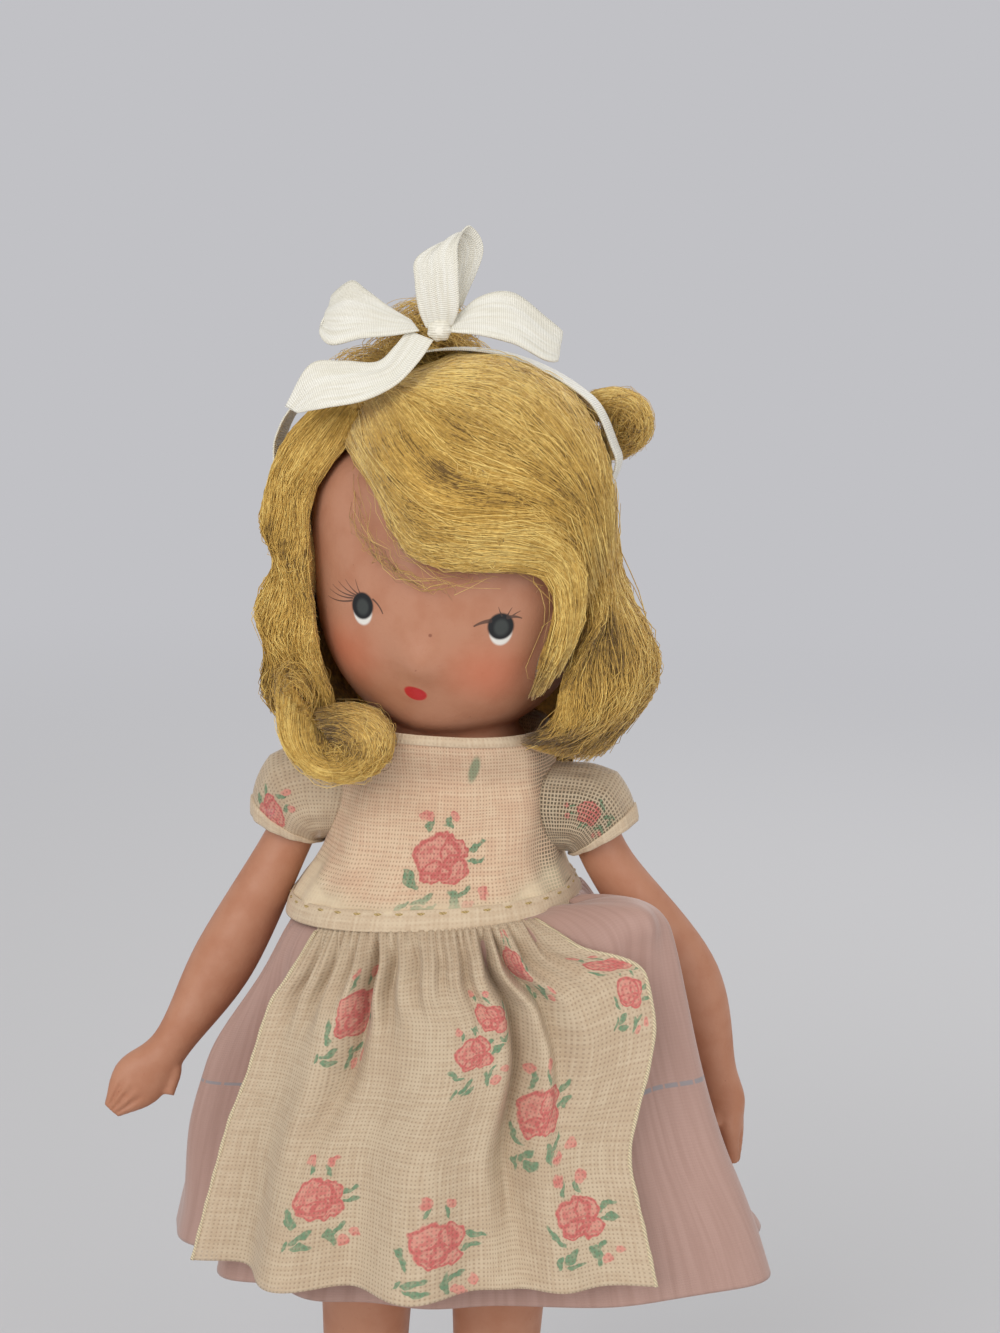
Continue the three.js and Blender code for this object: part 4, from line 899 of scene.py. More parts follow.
def taffeta_material():
    """Pink taffeta: close weave, soft lustre, faintly streaked, with a grey-blue stitched hem line."""
    material, nodes, shader = new_material("pink_taffeta")
    cloth = nodes.uv("cloth")
    weft, warp = weave(nodes, cloth, TAFFETA_PITCH)
    x, y, _ = nodes.split(cloth)
    streak = nodes.streaks(cloth, (1.4, 0.08, 1), 3.0)
    base = nodes.mix(nodes.fade(streak, 0.35, 0.7), colour(179, 145, 133), colour(170, 136, 124))
    base = nodes.mix(nodes.fade(weft, 0.2, -0.8, 0.0, 0.12), base, colour(162, 124, 116))
    dash = nodes.fade(nodes.math("SINE", nodes.times(x, 2 * math.pi / DASH_PITCH)), -0.95, -0.85)
    line = nodes.fade(nodes.math("ABSOLUTE", nodes.minus(y, HEM_STITCH)), 0.2, 0.1)
    stitched = nodes.times(dash, nodes.times(line, 0.8))
    nodes.fill(shader, {
        "Base Color": nodes.mix(stitched, base, colour(138, 138, 142)),
        "Roughness": nodes.fade(streak, 0.3, 0.7, 0.5, 0.62),
        "Specular IOR Level": 0.3,
        "Sheen Weight": 0.25,
        "Normal": nodes.bump(nodes.greatest(weft, nodes.times(warp, 0.6)), 0.015, 0.4),
    })
    return material


def lawn_material():
    """White cotton lawn, fine and slightly yellowed."""
    material, nodes, shader = new_material("white_lawn")
    place = nodes.place()
    x, y, z = nodes.waves(place, LAWN_PITCH)
    thread = nodes.greatest(nodes.math("COSINE", z), nodes.math("COSINE", nodes.plus(x, y)))
    tint = nodes.fade(nodes.noise(place, 0.2, 3.0), 0.35, 0.7)
    base = nodes.mix(tint, colour(240, 236, 226), colour(228, 221, 204))
    nodes.fill(shader, {
        "Base Color": nodes.mix(nodes.fade(thread, 0.0, -0.8, 0.0, 0.3), base, colour(204, 196, 178)),
        "Roughness": 0.9,
        "Normal": nodes.bump(thread, 0.03, 0.5),
    })
    return material


def thread_material(name, tint):
    """Twisted sewing thread."""
    material, nodes, shader = new_material(name)
    twist = nodes.math("SINE", nodes.plus(*nodes.waves(nodes.place(), TWIST_PITCH)))
    dark = colour(*[0.82 * share for share in tint])
    nodes.fill(shader, {
        "Base Color": nodes.mix(nodes.fade(twist, -0.6, 0.6), dark, colour(*tint)),
        "Roughness": 0.7,
        "Normal": nodes.bump(twist, 0.04, 0.6),
    })
    return material


def ribbon_material():
    """Cream rayon ribbon with fine crosswise ribs and plain selvedges, slightly see-through."""
    material, nodes, shader = new_material("cream_ribbon")
    cloth = nodes.uv("cloth")
    x, y, _ = nodes.split(cloth)
    rib = nodes.math("COSINE", nodes.times(y, 2 * math.pi / RIB_PITCH))
    edge = nodes.fade(nodes.math("ABSOLUTE", nodes.minus(x, RIBBON_WIDTH / 2)), 1.55, 1.75)
    streak = nodes.streaks(cloth, (3.0, 0.15, 1), 3.0)
    base = nodes.mix(nodes.fade(streak, 0.35, 0.7), colour(240, 237, 226), colour(229, 224, 208))
    base = nodes.mix(nodes.fade(rib, 0.0, -0.9, 0.0, 0.18), base, colour(206, 198, 178))
    height = nodes.plus(nodes.times(rib, 0.4), nodes.times(streak, 2.5))
    nodes.fill(shader, {
        "Base Color": nodes.mix(nodes.times(edge, 0.5), base, colour(240, 234, 216)),
        "Roughness": 0.45,
        "Sheen Weight": 0.2,
        "Specular IOR Level": 0.4,
        "Alpha": nodes.fade(rib, -1.0, -0.3, 0.86, 1.0),
        "Normal": nodes.bump(height, 0.08, 0.6),
    })
    return material


def net_material():
    """Tan cotton net."""
    material, nodes, shader = new_material("tan_net")
    thread = nodes.greatest(*weave(nodes, nodes.uv("cloth"), NET_PITCH))
    nodes.fill(shader, {
        "Base Color": nodes.mix(nodes.fade(thread, -0.4, 0.4), colour(120, 90, 50), colour(176, 140, 84)),
        "Roughness": 0.9,
        "Normal": nodes.bump(thread, 0.08, 0.7),
    })
    return material


# Dress

HEM_STITCH = 17.6
ORGANDY_THICK = 0.16
TAFFETA_THICK = 0.2
BODICE_FLAT = (86.0, 17.0)
SKIRT_FLAT = (190.0, 34.0)
APRON_FLAT = (50.0, 33.0)
SLEEVE_FLAT = (30.0, 10.0)
APRON_SHARE = 0.9
LAWN_OUT = 0.9
PANTALOON_TOP = 66
PANTALOON_LOW = 41
KNEE_Z = 42.2
CHEST_HALF = 10.4


def waist_line(x):
    return WAIST_Z + WAIST_SLANT * x


def bodice_ease(z):
    waist = 1.3 * (1 - smoothstep(z, 73.0, CHEST_Z))
    neck = 2.3 * smoothstep(z, 87.0, NECKLINE_Z)
    return GAP + waist + neck


def bloused(z):
    """Share of the fullness just above the waist, down to nothing at the chest."""
    return 1 - smoothstep(z, 74.0, 82.0)


def bodice_out(z):
    """How far the organdy stands off the trunk, bloused above the waist."""
    return bodice_ease(z) + 0.3 + 1.35 * bloused(z)


def bodice_shift(z):
    """The bodice hangs a little towards the doll's right above the waist."""
    return -0.5 * bloused(z)


def bodice_side(y, z):
    """Half-width of the bodice at a place on its side."""
    wide = along(TRUNK_WIDTHS, z) + bodice_out(z)
    deep = along(TRUNK_DEPTHS, z) + bodice_out(z)
    return wide * np.maximum(0.0, 1 - np.abs(y / deep) ** OVAL_POWER) ** (1 / OVAL_POWER)


def bodice_surface(u, v):
    angle = np.pi / 2 + 2 * np.pi * u
    guess = trunk_point(angle, np.full_like(u, WAIST_Z))
    z = lerp(NECKLINE_Z, waist_line(guess[..., 0]), v)
    slack = 0.2 * np.sin(9 * angle + 5 * v) * np.sin(np.pi * v)
    slack = slack + 0.14 * np.sin(17 * angle - 7 * v) * smoothstep(v, 0.5, 0.9)
    x, y = trunk_oval(angle, z, bodice_out(z) + slack)
    point = stack(x + bodice_shift(z), y, z)
    away = np.hypot(point[..., 1], point[..., 2] - SHOULDER_Z)
    inside = (away < ARMHOLE_RADIUS) & (np.abs(point[..., 0]) > ARMHOLE_SIDE)
    push = np.where(inside, ARMHOLE_RADIUS / np.maximum(away, 1e-6), 1.0)
    point[..., 1] *= push
    point[..., 2] = SHOULDER_Z + (point[..., 2] - SHOULDER_Z) * push
    return point


def outside_armhole(middle):
    """Cells of the bodice that aren't swallowed by an armhole."""
    away = np.hypot(middle[..., 1], middle[..., 2] - SHOULDER_Z)
    free = (away > ARMHOLE_RADIUS + 1e-3) | (np.abs(middle[..., 0]) < ARMHOLE_SIDE)
    return free[:-1, :-1] | free[1:, :-1] | free[:-1, 1:] | free[1:, 1:]


def band_surface(edge, stand_off, bottom, top, bulge):
    """Band round the bodice between two heights above an edge."""
    def surface(u, v):
        angle = np.pi / 2 + 2 * np.pi * u
        guess = trunk_point(angle, np.full_like(u, WAIST_Z))
        z = edge(guess[..., 0]) + lerp(top, bottom, v)
        out = bodice_out(z) + stand_off + bulge * np.sin(np.pi * v)
        x, y = trunk_oval(angle, z, out)
        return stack(x + bodice_shift(z), y, z)
    return surface


def stitches(name, line, length, pitch, radius):
    """Running stitches along a closed line of points."""
    steps = np.linalg.norm(np.diff(line, axis=0), axis=1)
    at = np.concatenate([[0], np.cumsum(steps)])
    count = int(at[-1] / pitch)
    starts = np.linspace(0, at[-1], count, endpoint=False)
    t = np.linspace(0, 1, 7)
    place = starts[:, None] + length * t[None]
    middle = np.stack([np.interp(place, at, line[:, k]) for k in range(3)], -1)
    outwards = unit(middle * [1, 1, 0])
    middle = middle + outwards * (0.16 * np.sin(np.pi * t) - 0.06)[None, :, None]
    size = radius * np.sqrt(np.maximum(0.15, np.sin(np.pi * np.clip(t, 0.08, 0.92))))
    points, quads, triangles = tubes(middle, size[None], 6)
    return new_object(name, points, quads, triangles)


def make_bodice(materials):
    obj = sheet("bodice_organdy", bodice_surface, 300, 70, ORGANDY_THICK, BODICE_FLAT, True, outside_armhole)
    return dress(obj, materials["bodice"], stands_for=["bodice"])


def neck_line(x):
    return np.full_like(x, NECKLINE_Z)


def make_bands(bodice, materials):
    """Folded edge at the neck, and the waistband with running stitches along its top."""
    obj = sheet("neck_fold", band_surface(neck_line, 0.03, -0.4, 0.5, 0.04), 200, 8, 0.26, (62.0, 0.7), True)
    dress(obj, materials["band"], stands_for=["neck_binding"])
    waist = band_surface(waist_line, 0.14, -0.5, 1.45, 0.04)
    obj = sheet("waist_fold", waist, 240, 10, 0.2, (78.0, 1.9), True)
    dress(obj, materials["band"], stands_for=["waistband"])
    u = np.linspace(0, 1, 500)
    line = waist(u, np.full_like(u, 0.16))
    sewn = stitches("waist_stitches", line, 1.05, 2.0, 0.13)
    dress(sewn, materials["tan_thread"])


# Width of each sleeve at its root, middle and hem, and how far it turns down
SLEEVE_WIDTHS = {"right": (9.4, 9.9, 7.7), "left": (8.6, 9.2, 7.6)}
SLEEVE_SWING = {"right": 70, "left": 58}


def sleeve_surface(name):
    side = SIDES[name]
    root, puff, hem = SLEEVE_WIDTHS[name]
    pivot_x = CHEST_HALF + GAP + CLOTH + GAP
    pivot_z = SHOULDER_Z - root / 2 - 0.4

    def surface(u, v):
        angle = 2 * np.pi * u * side
        swing = np.radians(SLEEVE_SWING[name]) * v
        width = lerp(lerp(root, puff, np.minimum(1, 2 * v)), hem, np.maximum(0, 2 * v - 1))
        gather = 0.3 * np.cos(15 * angle) * (1 - smoothstep(v, 0, 0.5))
        gather = gather + 0.22 * np.cos(11 * angle + 1) * v ** 2
        radius = width / 2 - 0.25 + gather * np.sin(np.pi * np.clip(v, 0.12, 0.88))
        out = 0.4 + width / 2 - radius * np.cos(angle)
        x = side * (pivot_x + out * np.sin(swing))
        puffed = stack(x, radius * np.sin(angle), pivot_z + out * np.cos(swing))
        seam_y = ARMHOLE_SEAM * np.sin(angle)
        seam_z = SHOULDER_Z - ARMHOLE_SEAM * np.cos(angle)
        sewn = stack(side * (bodice_side(seam_y, seam_z) - 0.05), seam_y, seam_z)
        return lerp(sewn, puffed, smoothstep(v, 0.0, 0.14)[..., None])
    return surface


def make_sleeve(name, materials):
    """Puff sleeve, gathered at the armhole, that turns down along the arm towards its hem."""
    surface = sleeve_surface(name)
    obj = sheet(name + "_sleeve_puff", surface, 160, 30, ORGANDY_THICK, SLEEVE_FLAT, True)
    dress(obj, materials[name + "_sleeve"], None, [name + "_sleeve"])

    def low_edge(u, v):
        return surface(u, lerp(0.86, 1.02, v))
    hem = sheet(name + "_sleeve_hem", low_edge, 120, 6, 0.5, (26.0, 1.5), True)
    dress(hem, materials["band"], None)
    for piece in (obj, hem):
        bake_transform(piece)
    return obj


def arm_inside(name):
    t = np.linspace(0, 1, 18)
    centre = side_path(name, arm_start(name), ARM_ROUTE[name], t)
    reach = np.hypot(centre[:, 1], centre[:, 2] - SHOULDER_Z)
    return np.column_stack([reach, np.abs(centre[:, 0]) - along(ARM_ACROSS, t)])


ARM_INSIDE = {name: arm_inside(name) for name in SIDES}


def swing_room(name, y, z):
    """How far out the skirt may stand beside the body, so that the arm on that side swings past it."""
    stations = ARM_INSIDE[name]
    reach = np.hypot(y, z - SHOULDER_Z)
    past = np.maximum(0, reach - stations[-1, 0] - 1.9)
    return along(stations, reach) - 1.1 + 3 * past


def soft_limit(x, limit):
    """The lesser of a distance and its limit, rounded where they meet."""
    blend = 0.7
    return -blend * np.logaddexp(-x / blend, -limit / blend)


def away_from(angle, degrees):
    """Angle from a direction, between half a turn either way."""
    away = angle - np.radians(degrees)
    return np.arctan2(np.sin(away), np.cos(away))


def skirt_point(angle, v, out, folds):
    """Gathered skirt: angle from +X, v from waist to hem, with folds as a distance outwards."""
    bulge = bell(away_from(angle, 180), 0, 0.9)
    flare = v ** (0.82 - 0.3 * bulge)
    z_waist = np.full_like(v, WAIST_Z - 0.5)
    ease = bodice_out(z_waist) - 0.5
    top_x, top_y = trunk_oval(angle, z_waist, ease)
    hem_x, hem_y = oval(26.0, 24.5, angle, 2)
    puff = bell(away_from(angle, -26), 0, np.radians(24))
    swell = 7.4 * smoothstep(v, -0.02, 0.2) * (1 + 0.2 * smoothstep(v, 0.4, 0.9))
    spread = out + swell * puff + folds
    x = lerp(top_x + bodice_shift(z_waist), hem_x + 1.2, flare) + spread * np.cos(angle)
    y = lerp(top_y, hem_y, flare) + spread * np.sin(angle)
    lift = 6.4 * puff * np.sin(np.pi / 2 * np.minimum(1, v / 0.17)) * (1 - smoothstep(v, 0.14, 0.7))
    z = lerp(waist_line(top_x) - GAP, HEM_Z + HEM_SLANT * x, v) + lift
    right_room = swing_room("right", y, z) - CLOTH + out
    ahead = 9.0 * smoothstep(-y, 3.8, 6.2)
    left_room = swing_room("left", y, z) - CLOTH + out + ahead
    return stack(-soft_limit(-soft_limit(x, left_room), right_room), y, z)


def skirt_surface(u, v):
    angle = np.pi / 2 + 2 * np.pi * u
    broad = 1.1 * (np.cos(13 * angle) + 0.4 * np.cos(17 * angle + 1)) * v ** 0.7
    fine = 0.34 * np.cos(44 * angle + 3 * np.sin(4 * angle)) * bell(v, 0.1, 0.26)
    beside = bell(away_from(angle, 214), 0, 0.34)
    on_right = smoothstep(v, 0.06, 0.45) * (1 - 0.6 * smoothstep(v, 0.6, 0.95))
    on_left = smoothstep(v, 0.08, 0.35) * (1 - 0.4 * smoothstep(v, 0.6, 1.0))
    hollow = 3.4 * np.cos(12.9 * away_from(angle, 229)) * beside * on_right
    hollow = hollow - 2.4 * bell(away_from(angle, -30), 0, np.radians(7)) * on_left
    pinch = np.cos(15 * angle + 9 * v) * bell(away_from(angle, -30), 0, 0.4) * bell(v, 0.08, 0.09)
    under_apron = bell(away_from(angle, -90), 0, 0.8)
    retreat = under_apron * (0.5 + 1.6 * smoothstep(v, 0, 0.2))
    gathers = (broad + fine) * (1 - 0.75 * under_apron) * (1 - 0.8 * beside)
    return skirt_point(angle, v, -retreat, gathers + hollow + pinch)


# Creases down the apron from its gathers: place across, drift, depth, half-width and how far down they reach
APRON_CREASES = [
    (0.06, -0.02, 1.0, 0.016, 0.4), (0.15, -0.03, 1.3, 0.02, 0.36), (0.23, -0.04, 1.0, 0.016, 0.28),
    (0.32, -0.1, 2.2, 0.02, 0.85), (0.39, -0.03, 1.7, 0.018, 0.36), (0.46, 0.0, 1.1, 0.014, 0.26),
    (0.54, 0.01, 0.9, 0.014, 0.22), (0.62, 0.02, 1.2, 0.016, 0.3), (0.71, 0.06, 2.6, 0.018, 1.5),
    (0.77, 0.14, 2.2, 0.018, 0.75), (0.86, 0.05, 1.8, 0.02, 0.36), (0.93, 0.02, 1.5, 0.02, 0.34),
]


def apron_folds(u, v):
    """Gathers at the waist that open into smooth panels between creases."""
    fold = 2.4 * (0.5 + 0.5 * np.cos(2 * np.pi * 3.6 * u + 0.9)) * v
    for place, drift, depth, width, reach in APRON_CREASES:
        crease = bell(u, place + drift * v, width * (1.15 + 1.8 * v))
        fade = smoothstep(v, 0, 0.1) * (1 - smoothstep(v, 0.3 * reach, reach))
        fold = fold - 1.6 * depth * crease * fade
    return fold + 0.25 * np.cos(2 * np.pi * 30 * u + 4 * np.sin(11 * u)) * bell(v, 0.0, 0.16)


def apron_surface(u, v):
    left = -130.0 + 4.0 * bell(v, 0.1, 0.07) - 1.5 * smoothstep(v, 0.4, 0.6)
    right = -47.0 + 9.0 * smoothstep(v, 0.1, 0.26) - 9.0 * smoothstep(v, 0.33, 0.68)
    angle = np.radians(lerp(left, right, u))
    deep = v * APRON_SHARE
    broad = 0.5 * (np.cos(13 * angle) + 0.4 * np.cos(17 * angle + 1)) * deep ** 0.7
    return skirt_point(angle, deep, CLOTH + 2.2 * smoothstep(v, 0.0, 0.12), broad + apron_folds(u, v))


def make_skirt(materials):
    skirt = sheet("skirt_taffeta", skirt_surface, 520, 100, TAFFETA_THICK, SKIRT_FLAT, True)
    dress(skirt, materials["taffeta"], stands_for=["skirt"])
    apron = sheet("apron_organdy", apron_surface, 420, 120, ORGANDY_THICK, APRON_FLAT)
    dress(apron, materials["apron"], stands_for=["apron"])
    v = np.linspace(0.01, 1, 110)
    size = 0.17 + 0.03 * np.sin(70 * v)
    rolls = {"apron_right_roll": 0.0, "apron_left_roll": 1.0}
    for name, u in rolls.items():
        line = apron_surface(np.full_like(v, u), v)
        rolled = new_object(name, *tubes(line[None], size[None], 8))
        dress(rolled, materials["cream_thread"])


def make_pantaloons(materials):
    """Short cotton pantaloons with a ruffle at each knee."""
    bodies = [trunk_body(LAWN_OUT, PANTALOON_TOP)]
    bodies += [leg_body(side, LAWN_OUT, PANTALOON_LOW) for side in SIDES.values()]
    obj = remeshed("pantaloons_lawn", bodies, 0.4, 4)
    points = get_points(obj)
    angle = np.arctan2(points[:, 1], np.abs(points[:, 0]) - LEG_SPACING / 2)
    fold = 0.18 * np.cos(12 * angle) * (1 - smoothstep(points[:, 2], 44, 60))
    points[:, 0] += fold * np.cos(angle) * np.sign(points[:, 0])
    points[:, 1] += fold * np.sin(angle)
    set_points(obj, points)
    dress(obj, materials["lawn"], stands_for=["pantaloons"])
    for name, side in SIDES.items():
        def ruffle(u, v):
            turn = 2 * np.pi * u
            radius = 6.25 + 0.5 * v + 0.35 * np.cos(22 * turn) * (0.3 + v)
            x = side * LEG_SPACING / 2 + radius * np.cos(turn)
            return stack(x, radius * np.sin(turn), KNEE_Z - 2.4 * v)
        lace = sheet(name + "_knee_ruffle", ruffle, 220, 8, 0.15, (60.0, 2.6), True)
        dress(lace, materials["lawn"])


# Hair

MOHAIR = [colour(120, 90, 42), colour(207, 166, 80), colour(246, 214, 127)]


def mohair_material():
    """Golden mohair, lighter and darker from strand to strand, with painted shade and highlight carried in
    each strand's tone.
    """
    material, nodes, shader = new_material("golden_mohair")
    tone = nodes.add("ShaderNodeAttribute", attribute_name="tone").outputs["Fac"]
    place = nodes.place()
    drift, fleck = [
        nodes.fade(nodes.noise(place, scale, detail), 0.3, 0.7, -0.12, 0.12)
        for scale, detail in ((0.22, 2.0), (2.4, 3.0))
    ]
    level = nodes.plus(tone, drift, fleck, clamp=True)
    base = nodes.mix(nodes.fade(level, 0.0, 0.5), *MOHAIR[:2])
    nodes.fill(shader, {
        "Base Color": nodes.mix(nodes.fade(level, 0.5, 1.0), base, MOHAIR[2]),
        "Roughness": 0.5,
        "Specular IOR Level": 0.3,
        "Sheen Weight": 0.2,
    })
    return material


def blended(strands, u):
    """Smooth blend across a fan of strands, at shares u."""
    at = np.clip(u, 0, 1) * (len(strands) - 1)
    total, weight = 0.0, 0.0
    for k, strand in enumerate(strands):
        x = np.abs(at - k)
        near = 1 - 2.5 * x ** 2 + 1.5 * x ** 3
        far = 2 - 4 * x + 2.5 * x ** 2 - 0.5 * x ** 3
        part = np.where(x < 1, near, np.where(x < 2, far, 0.0))
        total = total + strand * part[..., None]
        weight = weight + part
    return total / weight[..., None]


def fan(guides, inner, ripple=0.0, ripples=3.0):
    """Lock through guide strands: u across the fan, v along it, w from its inner face to its outer one."""
    def place(u, v, w):
        outer = blended([path(guide, v) for guide in guides], u)
        thick = lerp(0.15, 1.0, smoothstep(np.minimum(u, 1 - u), 0.02, 0.3))
        base = lerp(outer, inner(outer), thick[..., None])
        phase = ripples * v + 0.35 * np.sin(4 * u) + 0.6 * u
        swing = ripple * np.sin(2 * np.pi * phase) * smoothstep(v, 0.2, 0.5)
        return lerp(base, outer + unit(outer - base) * swing[..., None], w[..., None])
    return place


def to_scalp(points):
    """Places on the scalp under points of the hair."""
    local = (points - HEAD_PIVOT) @ HEAD_MATRIX - np.array([0, 0, HEAD_RISE])
    return to_world(on_head(unit(local / HEAD_HALF), np.full(points.shape[:-1], 0.9)))


def towards_neck(depth):
    """Inner face of hanging hair, a depth in from its outer face."""
    def inner(points):
        return points - unit((points - HEAD_PIVOT) * [1, 1, 0]) * depth
    return inner


def head_strand(stations):
    """Guide strand from rows of degrees round and down the head and millimetres out from it."""
    around, down, out = np.array(stations, float).T
    return to_world(on_head(head_direction(around, down), out))


# Guide strands of the front sweep: degrees round and down the head, and millimetres out from it
BAND_STRAND = [
    (-78, 22, 5.4), (-74, 14, 5.8), (-80, 4, 6.7), (70, 10, 6.8), (78, 24, 6.6), (76, 38, 6.0),
    (72, 52, 5.0), (68, 66, 4.2),
]
CROWN_STRAND = [
    (-82, 32, 5.0), (-58, 24, 5.2), (-17, 21, 6.0), (17, 20, 6.3), (42, 30, 6.4), (53, 45, 6.2),
    (57, 60, 5.6), (60, 76, 4.8),
]
VALLEY_STRAND = [
    (-86, 40, 4.8), (-60, 32, 5.0), (-28, 38, 4.2), (-6, 47, 3.1), (14, 52, 3.1), (30, 55, 4.2),
    (46, 64, 5.0), (54, 84, 4.8),
]
RIDGE_STRAND = [
    (-90, 47, 4.6), (-67, 40, 4.8), (-40, 47, 4.4), (-18, 57, 4.8), (0, 66, 5.2), (20, 66, 5.5),
    (38, 66, 5.6), (49, 78, 5.2), (50, 94, 4.6), (47, 108, 4.0),
]
BROW_STRAND = [
    (-94, 54, 4.2), (-74, 47, 4.4), (-50, 51, 3.2), (-28, 58, 2.8), (-15, 69, 2.5), (-3, 77, 2.4),
    (15, 78, 2.4), (36, 76, 2.6), (45, 82, 2.8), (46, 93, 3.0), (44, 107, 3.0), (45, 118, 2.6),
]
WISP_STRANDS = [
    [(-52, 40, 2.6), (-40, 50, 2.2), (-27, 62, 1.8), (-16, 74, 1.6), (0, 81, 1.5), (18, 81, 1.6),
     (34, 79, 2.0)],
    [(-58, 44, 2.2), (-50, 58, 1.4), (-36, 70, 1.2), (-20, 79, 1.2), (-4, 84, 1.2), (8, 86, 1.2),
     (20, 84, 1.4)],
]

# Guide strands of the hanging locks, from the face to the back
RIGHT_LOCK = [
    [(-8.5, -6.4, 121.4), (-9.9, -6.3, 118.5), (-12.9, -7.6, 113.5), (-12.6, -9.0, 108), (-12.0, -9.6, 102.5),
     (-10.8, -9.8, 97.5), (-9.0, -10.2, 93.6)],
    [(-10.5, -4.2, 122.8), (-14.8, -4.6, 118), (-16.6, -5.6, 112.5), (-15.6, -7.0, 107.8), (-16.0, -7.6, 102),
     (-15.2, -8.4, 97), (-13.8, -9.6, 92.2)],
    [(-11.5, -1, 123.5), (-16.2, -0.5, 118), (-18.0, -0.5, 111.8), (-16.8, -1, 107.5), (-17.6, -1.5, 101.5),
     (-16.8, -3.0, 96), (-14.6, -5.4, 92.0)],
    [(-10.5, 4, 123.5), (-15.0, 6, 117.5), (-16.4, 7.5, 110.5), (-15.8, 7.5, 105.5), (-15.6, 7, 100),
     (-14.4, 6, 95), (-12.6, 4.6, 91.2)],
    [(-7.2, 5.6, 122.6), (-11.2, 8.1, 116.9), (-13.3, 9.7, 110.3), (-13.6, 10.0, 105.5), (-13.4, 9.8, 100),
     (-12.6, 9.0, 95), (-11.4, 7.6, 91.2)],
]
LEFT_WAVES = [
    [(12.5, -2.2, 120.5), (13.4, -5.2, 114.5), (13.4, -7.6, 108.5), (13.9, -9.6, 103.5), (12.6, -10.2, 98.5),
     (11.4, -9.6, 94.4), (8.6, -8.8, 92.6)],
    [(13.4, 0.5, 120), (14.4, -2.0, 113.5), (14.9, -5.0, 108), (17.4, -6.8, 103.5), (17.4, -7.8, 98),
     (15.6, -8.0, 93.4), (11.8, -7.4, 91.0)],
    [(13.2, 3, 120), (14.7, 2, 113), (15.2, 0, 107.8), (18.5, -1, 103.0), (18.7, -2.5, 97.6),
     (17.0, -3.6, 92.6), (13.2, -4, 90.4)],
    [(12, 8.5, 120), (13.4, 8.5, 112), (14.2, 8, 106.5), (16.6, 7, 102), (16.4, 6, 96.6), (14.6, 4.5, 92.2),
     (11.5, 3, 90.6)],
]
TOWARDS_BACK = np.array([0.0, 1.0, 0.0])

# Rolled curl and puff: centre, line seen from the front, and each layer's depth and share of the line's reach
CURL_CENTRE = np.array([-8.9, 0.0, 91.6])
CURL_LINE = [
    (-14.0, 98), (-14.2, 94), (-13.2, 90.8), (-10.8, 88.7), (-7.6, 88.3), (-4.7, 89.7), (-3.8, 92.2),
    (-5.2, 94.3), (-8.0, 95.0), (-10.8, 94.6),
]
CURL_LAYERS = [(-11.6, 0.02), (-12.3, 0.4), (-12.5, 0.76), (-11.2, 1.0), (-8.6, 0.95)]
PUFF_CENTRE = np.array([13.4, 0.0, 120.3])
PUFF_LINE = [
    (9.2, 121.0), (11.2, 123.0), (13.8, 123.5), (16.2, 122.4), (17.1, 120.3), (16.1, 118.2), (13.9, 117.2),
    (11.4, 117.2), (9.4, 118.2),
]
PUFF_LAYERS = [(5.6, 0.02), (5.2, 0.45), (5.6, 0.8), (7.4, 1.0), (10.2, 0.9)]
TUFT_CENTRE = np.array([-4.2, 5.4, 128.6])

# Back hair: degrees round the head of each guide strand, then degrees down, millimetres out and drop along it
BACK_DEGREES = (114, 147, 180, 213, 246)
BACK_ROUTE = [(22, 5.8, 0), (52, 6.0, 0), (80, 5.4, 0), (90, 5.0, 6.0), (90, 4.4, 12.0), (90, 3.0, 18.2)]


def back_strand(degrees):
    """Guide strand down the back of the head and then free."""
    down, out, drop = np.array(BACK_ROUTE).T
    beside = smoothstep(abs(degrees - 180), 30, 60)
    points = on_head(head_direction(np.full(len(down), degrees), down), out - 3.0 * beside)
    return to_world(points - stack(0, 0, drop))


def curl_strand(line, centre, layer):
    """Guide strand of a curl: its line seen from the front, drawn in towards its centre, at a depth."""
    y, share = layer
    x, z = np.array(line).T
    return stack(lerp(centre[0], x, share), y, lerp(centre[2], z, share))


def behind(depth):
    """Inner face of hair that is seen from the front."""
    def inner(points):
        return points + TOWARDS_BACK * depth
    return inner


def crown_dome(u, v, w):
    """Hair over the crown behind the band: u round the back of the head, v down from the top."""
    return to_world(on_head(head_direction(lerp(96, 264, u), 36 * v), SCALP_OUT + 4.9 * w))


def drawn_waves(t, rates, start, count):
    """Phases along strands, each with a rate and a start of its own."""
    return rng.uniform(*rates, count)[:, None] * t + rng.uniform(0, start, count)[:, None]


